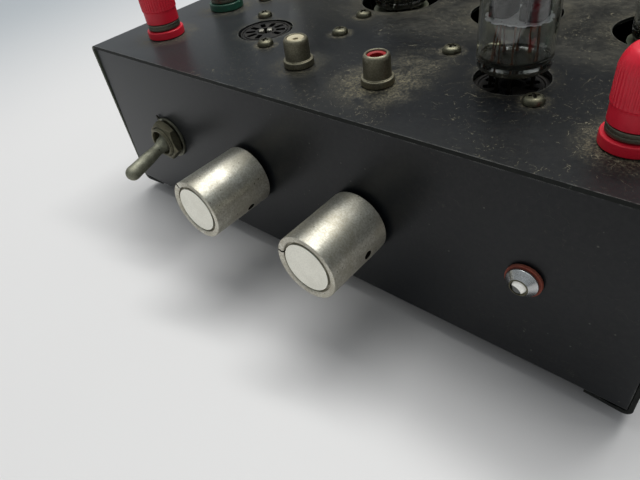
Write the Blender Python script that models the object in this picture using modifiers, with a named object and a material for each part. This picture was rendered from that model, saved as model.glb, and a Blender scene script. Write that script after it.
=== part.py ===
"""Desktop stereo tube amplifier, built as the assembly that it really is.

Metres, +Z up, front towards -Y. The origin is on the table, under the centre
of the amplifier's overall box. A folded cover carries the tubes, jacks and
terminals; a folded tray inside it carries the controls and the mains inlet.
"""

import math

import bmesh
import bpy
from mathutils import Matrix, Vector

# Fits and cutting
GAP = 0.0003
SLIDE_GAP = 0.0004
OVERRUN = 0.002
MERGE = 0.00001
SMOOTH_ANGLE = math.radians(35)

# Sides given to round pieces
FINE_SIDES = 28
ROUND_SIDES = 20
JACK_SIDES = 16
SMALL_SIDES = 12
SCREW_SIDES = 8
GETTER_SIDES = 8
HOLE_SIDES = 6
PIN_SIDES = 4
FULL_TURN = 2 * math.pi

# Folded steel chassis
CHASSIS_WIDTH = 0.220
CHASSIS_DEPTH = 0.190
CHASSIS_HEIGHT = 0.066
SHEET = 0.0012
BEND_RADIUS = 0.0025
BEND_STEPS = 3
FLANGE_WIDTH = 0.0125
PANEL_INSET = 0.0008
PANEL_SIDE_GAP = 0.0005

# Rubber feet, each with a moulded-in stud that clamps the tray to the cover
FOOT_HEIGHT = 0.005
FOOT_RADIUS = 0.0055
FOOT_TAPER = 0.0006
FOOT_SETBACK = 0.020
STUD_RADIUS = 0.0015
STUD_PROUD = 0.003

# Control knobs: places as shares of the chassis width and height
KNOB_X_SHARES = (-0.1164, 0.1091)
KNOB_Z_SHARES = (0.485, 0.470)
KNOB_RADIUS = 0.01085
KNOB_LENGTH = 0.0248
KNOB_STANDOFF = 0.0015
KNOB_EDGE = 0.0003
KNOB_WALL = 0.00175
KNOB_FACE_THICKNESS = 0.0016
KNOB_FACE_CLEARANCE = 0.00035
KNOB_WEB = 0.003
KNOB_SLIT_WIDTH = 0.0006
KNOB_SLIT_DEPTH = 0.0016
SET_SCREW_RADIUS = 0.0015
SET_SCREW_REACH = 0.0107
SET_SCREW_ANGLES = (math.radians(119), math.radians(99))
POINTER_ANGLES = (math.radians(-40), math.radians(-77))

# Potentiometers behind the knobs
POT_RADIUS = 0.0083
POT_DEPTH = 0.0090
POT_BUSH_RADIUS = 0.0035
POT_BUSH_PROUD = 0.0050
POT_SHAFT_RADIUS = 0.0025
POT_SHAFT_SEAT = 0.004
POT_LUG_WIDTH = 0.0014
POT_LUG_THICKNESS = 0.0006
POT_LUG_DROP = 0.0055
POT_LUG_PITCH = 0.005
POT_LUG_COUNT = 3
POT_NUT_WIDTH = 0.010
POT_NUT_THICKNESS = 0.0022
POT_NUT_ROOM = 0.0006

# Power toggle switch
TOGGLE_X_SHARE = -0.3268
TOGGLE_Z_SHARE = 0.511
TOGGLE_BUSH_RADIUS = 0.0060
TOGGLE_BORE_RADIUS = 0.0043
TOGGLE_BUSH_PROUD = 0.0060
TOGGLE_WASHER_RADIUS = 0.0090
TOGGLE_WASHER_THICKNESS = 0.0009
TOGGLE_NUT_WIDTH = 0.0145
TOGGLE_NUT_THICKNESS = 0.0034
TOGGLE_NUT_CHAMFER = 0.0005
TOGGLE_BODY_WIDTH = 0.0165
TOGGLE_BODY_HEIGHT = 0.029
TOGGLE_BODY_DEPTH = 0.017
TOGGLE_BODY_EDGE = 0.001
TOGGLE_LUG_WIDTH = 0.0030
TOGGLE_LUG_THICKNESS = 0.0008
TOGGLE_LUG_LENGTH = 0.006
TOGGLE_LUG_SPREAD = 0.0045
TOGGLE_LUG_PITCH = 0.0095
TOGGLE_PIVOT_PROUD = 0.0010
LEVER_TILT = math.radians(14)
LEVER_BALL_RADIUS = TOGGLE_BORE_RADIUS - SLIDE_GAP
LEVER_NECK_RADIUS = 0.0019
LEVER_TIP_RADIUS = 0.00295
LEVER_LENGTH = 0.0243

# Indicator lamp
LAMP_X_SHARE = 0.3495
LAMP_Z_SHARE = 0.512
LAMP_WASHER_RADIUS = 0.0050
LAMP_WASHER_THICKNESS = 0.0009
LAMP_BEZEL_RADIUS = 0.0044
LAMP_BEZEL_HEIGHT = 0.0026
LAMP_BEZEL_MOUTH_RADIUS = 0.0030
LAMP_BORE_RADIUS = 0.0023
LAMP_THREAD_RADIUS = 0.0030
LAMP_NUT_RADIUS = 0.0050
LAMP_NUT_THICKNESS = 0.0022
LAMP_TAIL = 0.0080
LENS_DOME_HEIGHT = 0.0012

# Phono input jacks on the top plate
JACK_X_SHARES = (-0.0629, 0.0816)
JACK_Y_SHARE = 0.111
JACK_FLANGE_RADIUS = 0.00505
JACK_FLANGE_THICKNESS = 0.0020
JACK_SHELL_RADIUS = 0.0042
JACK_SHELL_WALL = 0.0009
JACK_HEIGHT = 0.0093
JACK_THREAD_RADIUS = 0.0032
JACK_THREAD_DROP = 0.0085
JACK_NUT_RADIUS = 0.0055
JACK_NUT_THICKNESS = 0.0022
JACK_INSERT_RECESS = 0.0006
JACK_CONTACT_RADIUS = 0.0016
JACK_INSERT_SEAT = 0.0015

# Speaker binding posts on the top plate
POST_X_SHARES = (-0.3895, 0.4005)
POST_Y_SHARES = (0.1079, 0.2826)
POST_ROWS = ("front", "rear")
POST_BASE_RADIUS = 0.0072
POST_BASE_HEIGHT = 0.0028
POST_BOSS_RADIUS = 0.0044
POST_WASHER_RADIUS = 0.0063
POST_WASHER_THICKNESS = 0.0011
POST_STUD_RADIUS = 0.0030
POST_JACK_RADIUS = 0.0020
POST_NUT_RADIUS = 0.0048
POST_NUT_THICKNESS = 0.0030
POST_TAIL = 0.0110
POST_HEIGHT = 0.0225
POST_SKIRT_HEIGHT = 0.0045
POST_SKIRT_RADIUS = 0.0064
POST_GROOVE_WIDTH = 0.0004
POST_RIB_RADIUS = 0.0067
POST_RIB_DEPTH = 0.0004
POST_RIB_LENGTH = 0.0075
POST_RIB_COUNT = 12
POST_CROWN_RADIUS = 0.0048
POST_CROWN_EDGE = 0.0006
POST_STUD_SINK = 0.0020

# Small noval tube sockets, screwed under the plate
DRIVER_X_SHARES = (-0.2214, 0.2305)
DRIVER_Y_SHARE = 0.2116
DRIVER_HOLE_RADIUS = 0.0107
SPIGOT_RADIUS = 0.0089
SPIGOT_RECESS = 0.0003
SOCKET_RADIUS = 0.0115
SOCKET_DEPTH = 0.0085
SOCKET_EAR_WIDTH = 0.0080
SOCKET_EAR_THICKNESS = 0.0012
SOCKET_SCREW_RADIUS = 0.0156
SOCKET_SCREW_ANGLE = math.radians(-45)
SOCKET_LUG_LENGTH = 0.004
SOCKET_LUG_WIDTH = 0.0016
SOCKET_LUG_THICKNESS = 0.0005

# Noval pin circle: nine pins on ten places
PIN_CIRCLE_RADIUS = 0.00595
PIN_RADIUS = 0.0005
PIN_LENGTH = 0.0070
PIN_PLACES = 10
PIN_COUNT = 9
PIN_SLOT_WIDTH = 0.0017
PIN_SLOT_LENGTH = 0.0030
KEY_HOLE_RADIUS = 0.0013

# Driver tube
TUBE_RADIUS = 0.0102
TUBE_WALL = 0.0010
TUBE_SEAT_LIFT = 0.0035
TUBE_HEIGHT = 0.049
TUBE_TIP_RADIUS = 0.0022
TUBE_TIP_HEIGHT = 0.0055
TUBE_FOOT_ROUNDING = 0.0020
BUTTON_THICKNESS = 0.0024
LOWER_MICA_HEIGHT = 0.0140
MICA_THICKNESS = 0.0005
PLATE_STACK_HEIGHT = 0.0200
PLATE_RADIUS = 0.0032
PLATE_OFFSET = 0.0042
LEAD_RADIUS = 0.0004
LEAD_CIRCLE_RADIUS = 0.0055
LEAD_COUNT = 4
GETTER_POST_HEIGHT = 0.0035
GETTER_RADIUS = 0.0028
GETTER_THICKNESS = 0.0008

# Power tubes in a row, plugged into the board under the plate
POWER_COUNT = 4
POWER_ROW_X_SHARE = 0.0277
POWER_PITCH_SHARE = 0.2182
POWER_Y_SHARE = 0.459
POWER_HOLE_RADIUS = 0.0155
POWER_TUBE_HEIGHT = 0.060
POWER_BASE_DROP = 0.0020
POWER_SOCKET_RADIUS = 0.0110
POWER_SOCKET_HEIGHT = 0.0095
POWER_SOCKET_GAP = 0.0010

# Circuit board hung from the plate
BOARD_THICKNESS = 0.0016
BOARD_MARGIN = 0.0165
BOARD_TONGUE_MARGIN = 0.0050
BOARD_SCREW_X_SHARES = (0.1195, -0.0823, -0.0932, -0.3432)
BOARD_SCREW_Y_SHARES = (0.2605, 0.2537, 0.3463, 0.3542)
STANDOFF_RADIUS = 0.0030
CAPACITOR_RADIUS = 0.0090
CAPACITOR_LENGTH = 0.030
CAPACITOR_X_SHARES = (-0.10, 0.16)
CAPACITOR_EDGE = 0.001

# Pan head screws in the top plate
SCREW_RADIUS = 0.0015
SCREW_HEAD_RADIUS = 0.0030
SCREW_HEAD_HEIGHT = 0.0019
SCREW_HEAD_CROWN_SHARE = 0.62
SCREW_LENGTH = 0.0065
SCREW_NUT_RADIUS = 0.0029
SCREW_NUT_THICKNESS = 0.0024
SCREW_RECESS_WIDTH = 0.0007
SCREW_RECESS_SPAN = 0.0030
SCREW_RECESS_DEPTH = 0.0008

# Transformers behind the tubes: core width, stack, height, bell depth
TRANSFORMER_Y_SHARE = 0.815
MAINS_CORE_WIDTH = 0.066
MAINS_CORE_STACK = 0.032
MAINS_CORE_HEIGHT = 0.055
OUTPUT_CORE_WIDTH = 0.057
OUTPUT_CORE_STACK = 0.026
OUTPUT_CORE_HEIGHT = 0.048
BELL_DEPTH = 0.0125
BELL_MARGIN = 0.0050
BELL_ROUNDING = 0.0040
TRANSFORMER_GAP = 0.0080
TRANSFORMER_LIP = 0.0070
TRANSFORMER_LIP_THICKNESS = 0.0015
TRANSFORMER_BOLT_RADIUS = 0.0030
TRANSFORMER_BOLT_HEIGHT = 0.0020

# Mains inlet in the rear wall
INLET_X_SHARE = -0.32
INLET_Z_SHARE = 0.50
INLET_WIDTH = 0.0270
INLET_HEIGHT = 0.0195
INLET_DEPTH = 0.0190
INLET_FLANGE_WIDTH = 0.0310
INLET_FLANGE_HEIGHT = 0.0235
INLET_FLANGE_THICKNESS = 0.0025
INLET_MOUTH_WIDTH = 0.0240
INLET_MOUTH_HEIGHT = 0.0165
INLET_MOUTH_DEPTH = 0.0150
INLET_PIN_WIDTH = 0.0020
INLET_PIN_HEIGHT = 0.0040
INLET_PIN_SHORTFALL = 0.0030
INLET_PIN_SPREAD = 0.0070
INLET_PIN_RISE = 0.0020
INLET_EDGE = 0.0008

# Levels above the table, and depths from the front of the cover
FLOOR_Z = FOOT_HEIGHT
TOP_Z = FLOOR_Z + CHASSIS_HEIGHT
UNDER_Z = TOP_Z - SHEET
TRAY_Z = FLOOR_Z + SHEET + GAP
FRONT_REACH = KNOB_STANDOFF + KNOB_LENGTH - PANEL_INSET
REAR_REACH = GAP + INLET_FLANGE_THICKNESS - PANEL_INSET
OVERALL_DEPTH = FRONT_REACH + CHASSIS_DEPTH + REAR_REACH
FRONT_Y = FRONT_REACH - OVERALL_DEPTH / 2
BACK_Y = FRONT_Y + CHASSIS_DEPTH
PANEL_Y = FRONT_Y + PANEL_INSET
REAR_PANEL_Y = BACK_Y - PANEL_INSET
BOARD_TOP_Z = TOP_Z - POWER_BASE_DROP - POWER_SOCKET_GAP - POWER_SOCKET_HEIGHT


def clear_scene():
    for old in list(bpy.data.objects):
        bpy.data.objects.remove(old, do_unlink=True)


def make_collection(name, parent=None):
    found = bpy.data.collections.new(name)
    (parent or bpy.context.scene.collection).children.link(found)
    return found


clear_scene()
AMPLIFIER = make_collection("tube_amplifier")
CUTTERS = make_collection("cutters")


def make_material(name, color, roughness, metallic=0.0, transmission=0.0):
    made = bpy.data.materials.new(name)
    made.use_nodes = True
    surface = made.node_tree.nodes["Principled BSDF"]
    surface.inputs["Base Color"].default_value = (*color, 1.0)
    surface.inputs["Roughness"].default_value = roughness
    surface.inputs["Metallic"].default_value = metallic
    surface.inputs["Transmission Weight"].default_value = transmission
    made.diffuse_color = (*color, 1.0)
    return made


PAINTED_STEEL = make_material("painted_steel", (0.052, 0.056, 0.062), 0.45, 0.1)
BLACK_RUBBER = make_material("black_rubber", (0.02, 0.02, 0.02), 0.85)
SATIN_ALUMINIUM = make_material("satin_aluminium", (0.62, 0.60, 0.55), 0.32, 1.0)
FACE_ALUMINIUM = make_material("face_aluminium", (0.72, 0.71, 0.68), 0.45, 1.0)
PLATED_STEEL = make_material("plated_steel", (0.50, 0.48, 0.42), 0.35, 1.0)
TARNISHED_BRASS = make_material("tarnished_brass", (0.33, 0.30, 0.20), 0.45, 1.0)
SWITCH_PLASTIC = make_material("switch_plastic", (0.05, 0.03, 0.025), 0.5)
CHROME = make_material("chrome", (0.62, 0.62, 0.62), 0.12, 1.0)
FIBRE = make_material("fibre", (0.23, 0.055, 0.03), 0.75)
CLEAR_LENS = make_material("clear_lens", (0.85, 0.85, 0.85), 0.12, 0.0, 0.7)
RED_PLASTIC = make_material("red_plastic", (0.60, 0.018, 0.026), 0.35)
GREEN_PLASTIC = make_material("green_plastic", (0.012, 0.10, 0.055), 0.35)
WHITE_PLASTIC = make_material("white_plastic", (0.62, 0.58, 0.48), 0.5)
BAKELITE = make_material("bakelite", (0.018, 0.018, 0.02), 0.4)
TUBE_GLASS = make_material("tube_glass", (0.9, 0.92, 0.9), 0.05, 0.0, 1.0)
TUBE_METAL = make_material("tube_metal", (0.22, 0.22, 0.23), 0.5, 0.9)
CIRCUIT_BOARD = make_material("circuit_board", (0.04, 0.09, 0.035), 0.5)
CORE_STEEL = make_material("core_steel", (0.03, 0.03, 0.032), 0.5, 0.3)
INLET_PLASTIC = make_material("inlet_plastic", (0.02, 0.02, 0.02), 0.55)


def place(obj, material, location=(0, 0, 0), rotation=(0, 0, 0)):
    """Puts a finished piece where it belongs, in the amplifier's collection."""
    obj.location = location
    obj.rotation_euler = rotation
    obj.data.materials.append(material)
    AMPLIFIER.objects.link(obj)
    return obj


def helper(obj, location=(0, 0, 0), rotation=(0, 0, 0)):
    """Hides a cutter or a piece that a Boolean joins to another."""
    obj.location = location
    obj.rotation_euler = rotation
    obj.hide_render = True
    obj.display_type = "WIRE"
    CUTTERS.objects.link(obj)
    return obj


def combine(obj, other, operation):
    modifier = obj.modifiers.new(f"{operation.lower()} {other.name}", "BOOLEAN")
    modifier.operation = operation
    modifier.object = other
    modifier.solver = "EXACT"


def cut(obj, *others):
    for other in others:
        combine(obj, other, "DIFFERENCE")


def fuse(obj, *others):
    for other in others:
        combine(obj, other, "UNION")


def object_from(name, mesh_builder):
    """A new object from a filled bmesh, shaded smooth with its sharp edges kept."""
    mesh = bpy.data.meshes.new(name)
    mesh_builder.to_mesh(mesh)
    mesh_builder.free()
    mesh.shade_smooth()
    mesh.set_sharp_from_angle(angle=SMOOTH_ANGLE)
    return bpy.data.objects.new(name, mesh)


def turned(name, profile, sides=ROUND_SIDES, bored=False):
    """A solid turned about Z. The profile lists (radius, z) down the outer side.

    A bored profile runs on up the bore and closes on its first point.
    """
    mesh = bpy.data.meshes.new(name)
    points = [(radius, 0.0, height) for radius, height in profile]
    edges = [(i, i + 1) for i in range(len(points) - 1)]
    if bored:
        edges.append((len(points) - 1, 0))
    mesh.from_pydata(points, edges, [])
    obj = bpy.data.objects.new(name, mesh)
    screw = obj.modifiers.new("turn", "SCREW")
    screw.angle = FULL_TURN
    screw.steps = sides
    screw.render_steps = sides
    screw.use_merge_vertices = True
    screw.merge_threshold = MERGE
    screw.use_smooth_shade = True
    return obj


def add_cylinder(builder, center, radius, low, high, sides=SMALL_SIDES):
    """Adds an upright cylinder to a bmesh."""
    middle = Matrix.Translation((center[0], center[1], (low + high) / 2))
    bmesh.ops.create_cone(
        builder,
        cap_ends=True,
        segments=sides,
        radius1=radius,
        radius2=radius,
        depth=high - low,
        matrix=middle,
    )


def add_box(builder, low, high, turn=0.0):
    """Adds a box between two corners, turned about the Z axis of the piece."""
    size = Vector(high) - Vector(low)
    middle = (Vector(high) + Vector(low)) / 2
    matrix = Matrix.Rotation(turn, 4, "Z") @ Matrix.Translation(middle) @ Matrix.Diagonal((*size, 1))
    bmesh.ops.create_cube(builder, size=1, matrix=matrix)


def cylinders(name, specs, sides=SMALL_SIDES):
    """Upright cylinders in one object, from (center, radius, low, high)."""
    builder = bmesh.new()
    for center, radius, low, high in specs:
        add_cylinder(builder, center, radius, low, high, sides)
    return object_from(name, builder)


def boxes(name, corner_pairs):
    """Boxes in one object, from pairs of opposite corners."""
    builder = bmesh.new()
    for low, high in corner_pairs:
        add_box(builder, low, high)
    return object_from(name, builder)


def bevel(obj, width, segments=2):
    modifier = obj.modifiers.new("bevel", "BEVEL")
    modifier.width = width
    modifier.segments = segments
    modifier.limit_method = "ANGLE"
    modifier.harden_normals = False
    return modifier


def hexagon(name, width, thickness, bore_radius, chamfer=0.0):
    """A nut lying on z = 0, measured across its flats."""
    corner = width / 2 / math.cos(math.pi / 6)
    builder = bmesh.new()
    add_cylinder(builder, (0, 0), corner, 0, thickness, sides=6)
    nut = object_from(name, builder)
    if chamfer:
        bevel(nut, chamfer, segments=1)
    bore = cylinders(f"{name}_bore", [((0, 0), bore_radius, -OVERRUN, thickness + OVERRUN)])
    return nut, bore


def plate_point(x_share, y_share):
    """A place on the top plate, from shares of the chassis width and depth."""
    return x_share * CHASSIS_WIDTH, PANEL_Y + y_share * CHASSIS_DEPTH


def panel_point(x_share, z_share):
    """A place on the front panel, from shares of the chassis width and height."""
    return x_share * CHASSIS_WIDTH, FLOOR_Z + z_share * CHASSIS_HEIGHT


def around(center, radius, angle):
    return center[0] + radius * math.cos(angle), center[1] + radius * math.sin(angle)


SIDES = ("left", "right")
KNOB_PLACES = [panel_point(x, z) for x, z in zip(KNOB_X_SHARES, KNOB_Z_SHARES)]
TOGGLE_PLACE = panel_point(TOGGLE_X_SHARE, TOGGLE_Z_SHARE)
LAMP_PLACE = panel_point(LAMP_X_SHARE, LAMP_Z_SHARE)
INLET_PLACE = panel_point(INLET_X_SHARE, INLET_Z_SHARE)
JACK_PLACES = [plate_point(x, JACK_Y_SHARE) for x in JACK_X_SHARES]
POST_PLACES = {
    f"{side}_{row}": plate_point(x, y)
    for side, x in zip(SIDES, POST_X_SHARES)
    for row, y in zip(POST_ROWS, POST_Y_SHARES)
}
DRIVER_PLACES = [plate_point(x, DRIVER_Y_SHARE) for x in DRIVER_X_SHARES]
POWER_PLACES = [
    plate_point(POWER_ROW_X_SHARE + (i - (POWER_COUNT - 1) / 2) * POWER_PITCH_SHARE, POWER_Y_SHARE)
    for i in range(POWER_COUNT)
]
SOCKET_SCREW_PLACES = {
    f"{side}_{end}": around(center, SOCKET_SCREW_RADIUS, SOCKET_SCREW_ANGLE + turn)
    for side, center in zip(SIDES, DRIVER_PLACES)
    for end, turn in (("front", 0.0), ("rear", math.pi))
}
BOARD_SCREW_PLACES = [
    plate_point(x, y) for x, y in zip(BOARD_SCREW_X_SHARES, BOARD_SCREW_Y_SHARES)
]
FOOT_X = CHASSIS_WIDTH / 2 - BEND_RADIUS - GAP - FOOT_RADIUS
FOOT_PLACES = {
    f"{end}_{side}": (sign * FOOT_X, y)
    for end, y in (("front", FRONT_Y + FOOT_SETBACK), ("rear", BACK_Y - FOOT_SETBACK))
    for side, sign in zip(SIDES, (-1, 1))
}


def folded_sheet(name, outline, length_axis, start, end):
    """A bent sheet: the outline's outer line drawn along one axis, bent and thickened inwards."""
    builder = bmesh.new()
    rows = []
    for along in (start, end):
        row = []
        for across, height in outline:
            point = (across, along, height) if length_axis == "Y" else (along, across, height)
            row.append(builder.verts.new(point))
        rows.append(row)
    for i in range(len(outline) - 1):
        builder.faces.new((rows[0][i], rows[0][i + 1], rows[1][i + 1], rows[1][i]))
    bmesh.ops.recalc_face_normals(builder, faces=builder.faces)
    sheet = object_from(name, builder)
    bend = bevel(sheet, BEND_RADIUS, BEND_STEPS)
    bend.angle_limit = SMOOTH_ANGLE
    thickness = sheet.modifiers.new("sheet", "SOLIDIFY")
    thickness.thickness = SHEET
    thickness.offset = -1
    thickness.use_even_offset = True
    return sheet


def make_cover():
    """Top plate and both sides in one bend, with flanges turned in under the tray."""
    side = CHASSIS_WIDTH / 2
    lip = side - FLANGE_WIDTH
    left = [(-lip, FLOOR_Z), (-side, FLOOR_Z), (-side, TOP_Z)]
    right = [(side, TOP_Z), (side, FLOOR_Z), (lip, FLOOR_Z)]
    outline = left + right
    cover = folded_sheet("chassis_cover", outline, "Y", FRONT_Y, BACK_Y)
    low, high = UNDER_Z - OVERRUN, TOP_Z + OVERRUN
    wide = [(place_, POWER_HOLE_RADIUS, low, high) for place_ in POWER_PLACES]
    wide += [(place_, DRIVER_HOLE_RADIUS, low, high) for place_ in DRIVER_PLACES]
    narrow = [(place_, JACK_THREAD_RADIUS + GAP, low, high) for place_ in JACK_PLACES]
    narrow += [(place_, POST_BOSS_RADIUS + GAP, low, high) for place_ in POST_PLACES.values()]
    threaded = [*SOCKET_SCREW_PLACES.values(), *BOARD_SCREW_PLACES]
    tiny = [(place_, SCREW_RADIUS + GAP, low, high) for place_ in threaded]
    flange_low, flange_high = FLOOR_Z - OVERRUN, FLOOR_Z + SHEET + OVERRUN
    tiny += [(place_, STUD_RADIUS + GAP, flange_low, flange_high) for place_ in FOOT_PLACES.values()]
    cut(
        cover,
        helper(cylinders("cover_tube_holes", wide, ROUND_SIDES)),
        helper(cylinders("cover_jack_holes", narrow, SMALL_SIDES)),
        helper(cylinders("cover_screw_holes", tiny, HOLE_SIDES)),
    )
    return place(cover, PAINTED_STEEL)


def make_tray():
    """Front panel, floor and rear panel in one bend, standing on the cover's flanges."""
    top = UNDER_Z - PANEL_SIDE_GAP
    half = CHASSIS_WIDTH / 2 - SHEET - PANEL_SIDE_GAP
    outline = [(PANEL_Y, top), (PANEL_Y, TRAY_Z), (REAR_PANEL_Y, TRAY_Z), (REAR_PANEL_Y, top)]
    tray = folded_sheet("chassis_tray", outline, "X", -half, half)
    facing = (math.radians(90), 0, 0)
    depth = SHEET + OVERRUN
    panel_holes = [((x, z), POT_BUSH_RADIUS + GAP, -depth, OVERRUN) for x, z in KNOB_PLACES]
    panel_holes.append((TOGGLE_PLACE, TOGGLE_BUSH_RADIUS + GAP, -depth, OVERRUN))
    panel_holes.append((LAMP_PLACE, LAMP_THREAD_RADIUS + GAP, -depth, OVERRUN))
    stud_holes = [
        (place_, STUD_RADIUS + GAP, TRAY_Z - OVERRUN, TRAY_Z + SHEET + OVERRUN)
        for place_ in FOOT_PLACES.values()
    ]
    inlet_half = (INLET_WIDTH / 2 + GAP, INLET_HEIGHT / 2 + GAP)
    inlet_hole = [
        (
            (INLET_PLACE[0] - inlet_half[0], REAR_PANEL_Y - depth, INLET_PLACE[1] - inlet_half[1]),
            (INLET_PLACE[0] + inlet_half[0], REAR_PANEL_Y + OVERRUN, INLET_PLACE[1] + inlet_half[1]),
        )
    ]
    bend_x = CHASSIS_WIDTH / 2 - BEND_RADIUS - GAP
    bend_low, bend_high = FLOOR_Z + BEND_RADIUS + GAP, TOP_Z - BEND_RADIUS - GAP
    reliefs = [
        ((min(near, far), FRONT_Y, low), (max(near, far), BACK_Y, high))
        for near, far in ((-bend_x, -half - OVERRUN), (bend_x, half + OVERRUN))
        for low, high in ((FLOOR_Z, bend_low), (bend_high, TOP_Z))
    ]
    cut(
        tray,
        helper(boxes("bend_reliefs", reliefs)),
        helper(cylinders("panel_holes", panel_holes, ROUND_SIDES), (0, PANEL_Y, 0), facing),
        helper(cylinders("tray_stud_holes", stud_holes, HOLE_SIDES)),
        helper(boxes("inlet_hole", inlet_hole)),
    )
    return place(tray, PAINTED_STEEL)


def make_foot(name, center):
    """Rubber foot whose stud comes up through the flange and the tray."""
    seat = FOOT_HEIGHT - GAP
    stud_top = TRAY_Z + SHEET + STUD_PROUD
    profile = [
        (0, stud_top),
        (STUD_RADIUS, stud_top),
        (STUD_RADIUS, seat),
        (FOOT_RADIUS, seat),
        (FOOT_RADIUS - FOOT_TAPER, 0),
        (0, 0),
    ]
    return place(turned(name, profile, SMALL_SIDES), BLACK_RUBBER, (*center, 0))


def make_toggle():
    """Switch body behind the panel, with its threaded bush, washer, nut and lever."""
    x, z = TOGGLE_PLACE
    facing = (math.radians(90), 0, 0)
    at_panel = (x, PANEL_Y, z)
    back = -SHEET - GAP
    half_width, half_height = TOGGLE_BODY_WIDTH / 2, TOGGLE_BODY_HEIGHT / 2
    low = (-half_width, -half_height, back - TOGGLE_BODY_DEPTH)
    body = boxes("toggle_body", [(low, (half_width, half_height, back))])
    bevel(body, TOGGLE_BODY_EDGE, 1)
    bush_spec = [((0, 0), TOGGLE_BUSH_RADIUS, back - TOGGLE_BODY_EDGE, TOGGLE_BUSH_PROUD)]
    lug_reach = -TOGGLE_BODY_DEPTH + back - TOGGLE_LUG_LENGTH
    lug_root = -TOGGLE_BODY_DEPTH + back + TOGGLE_BODY_EDGE
    lugs = [
        (
            (column - TOGGLE_LUG_WIDTH / 2, row - TOGGLE_LUG_THICKNESS / 2, lug_reach),
            (column + TOGGLE_LUG_WIDTH / 2, row + TOGGLE_LUG_THICKNESS / 2, lug_root),
        )
        for column in (-TOGGLE_LUG_SPREAD, TOGGLE_LUG_SPREAD)
        for row in (-TOGGLE_LUG_PITCH, 0, TOGGLE_LUG_PITCH)
    ]
    bore_floor = TOGGLE_PIVOT_PROUD - LEVER_BALL_RADIUS - GAP
    bore_spec = [((0, 0), TOGGLE_BORE_RADIUS, bore_floor, TOGGLE_BUSH_PROUD + OVERRUN)]
    fuse(body, helper(cylinders("toggle_bush", bush_spec, ROUND_SIDES), at_panel, facing))
    fuse(body, helper(boxes("toggle_lugs", lugs), at_panel, facing))
    cut(body, helper(cylinders("toggle_bore", bore_spec, ROUND_SIDES), at_panel, facing))
    place(body, SWITCH_PLASTIC, at_panel, facing)

    washer_profile = ring_profile(TOGGLE_WASHER_RADIUS, TOGGLE_BUSH_RADIUS + GAP, TOGGLE_WASHER_THICKNESS)
    washer = turned("toggle_washer", washer_profile, ROUND_SIDES, bored=True)
    place(washer, PLATED_STEEL, (x, PANEL_Y - GAP, z), facing)

    nut, bore = hexagon(
        "toggle_nut", TOGGLE_NUT_WIDTH, TOGGLE_NUT_THICKNESS, TOGGLE_BUSH_RADIUS + GAP, TOGGLE_NUT_CHAMFER
    )
    nut_at = (x, PANEL_Y - GAP - TOGGLE_WASHER_THICKNESS - GAP, z)
    cut(nut, helper(bore, nut_at, facing))
    place(nut, TARNISHED_BRASS, nut_at, facing)

    tip_center = LEVER_LENGTH - LEVER_TIP_RADIUS
    steps = 4
    tip = [
        (
            LEVER_TIP_RADIUS * math.sin(i * math.pi / 2 / steps),
            tip_center + LEVER_TIP_RADIUS * math.cos(i * math.pi / 2 / steps),
        )
        for i in range(steps + 1)
    ]
    neck_angle = math.asin(LEVER_NECK_RADIUS / LEVER_BALL_RADIUS)
    ball = [
        (
            LEVER_BALL_RADIUS * math.sin(neck_angle + i * (math.pi - neck_angle) / steps),
            LEVER_BALL_RADIUS * math.cos(neck_angle + i * (math.pi - neck_angle) / steps),
        )
        for i in range(steps)
    ]
    lever = turned("toggle_lever", [*tip, *ball, (0, -LEVER_BALL_RADIUS)], SMALL_SIDES)
    pivot = (x, PANEL_Y - TOGGLE_PIVOT_PROUD, z)
    place(lever, PLATED_STEEL, pivot, (math.radians(90) + LEVER_TILT, 0, 0))


def ring_profile(outer, inner, thickness):
    """A flat ring standing on z = 0."""
    return [(outer, thickness), (outer, 0), (inner, 0), (inner, thickness)]


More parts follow.
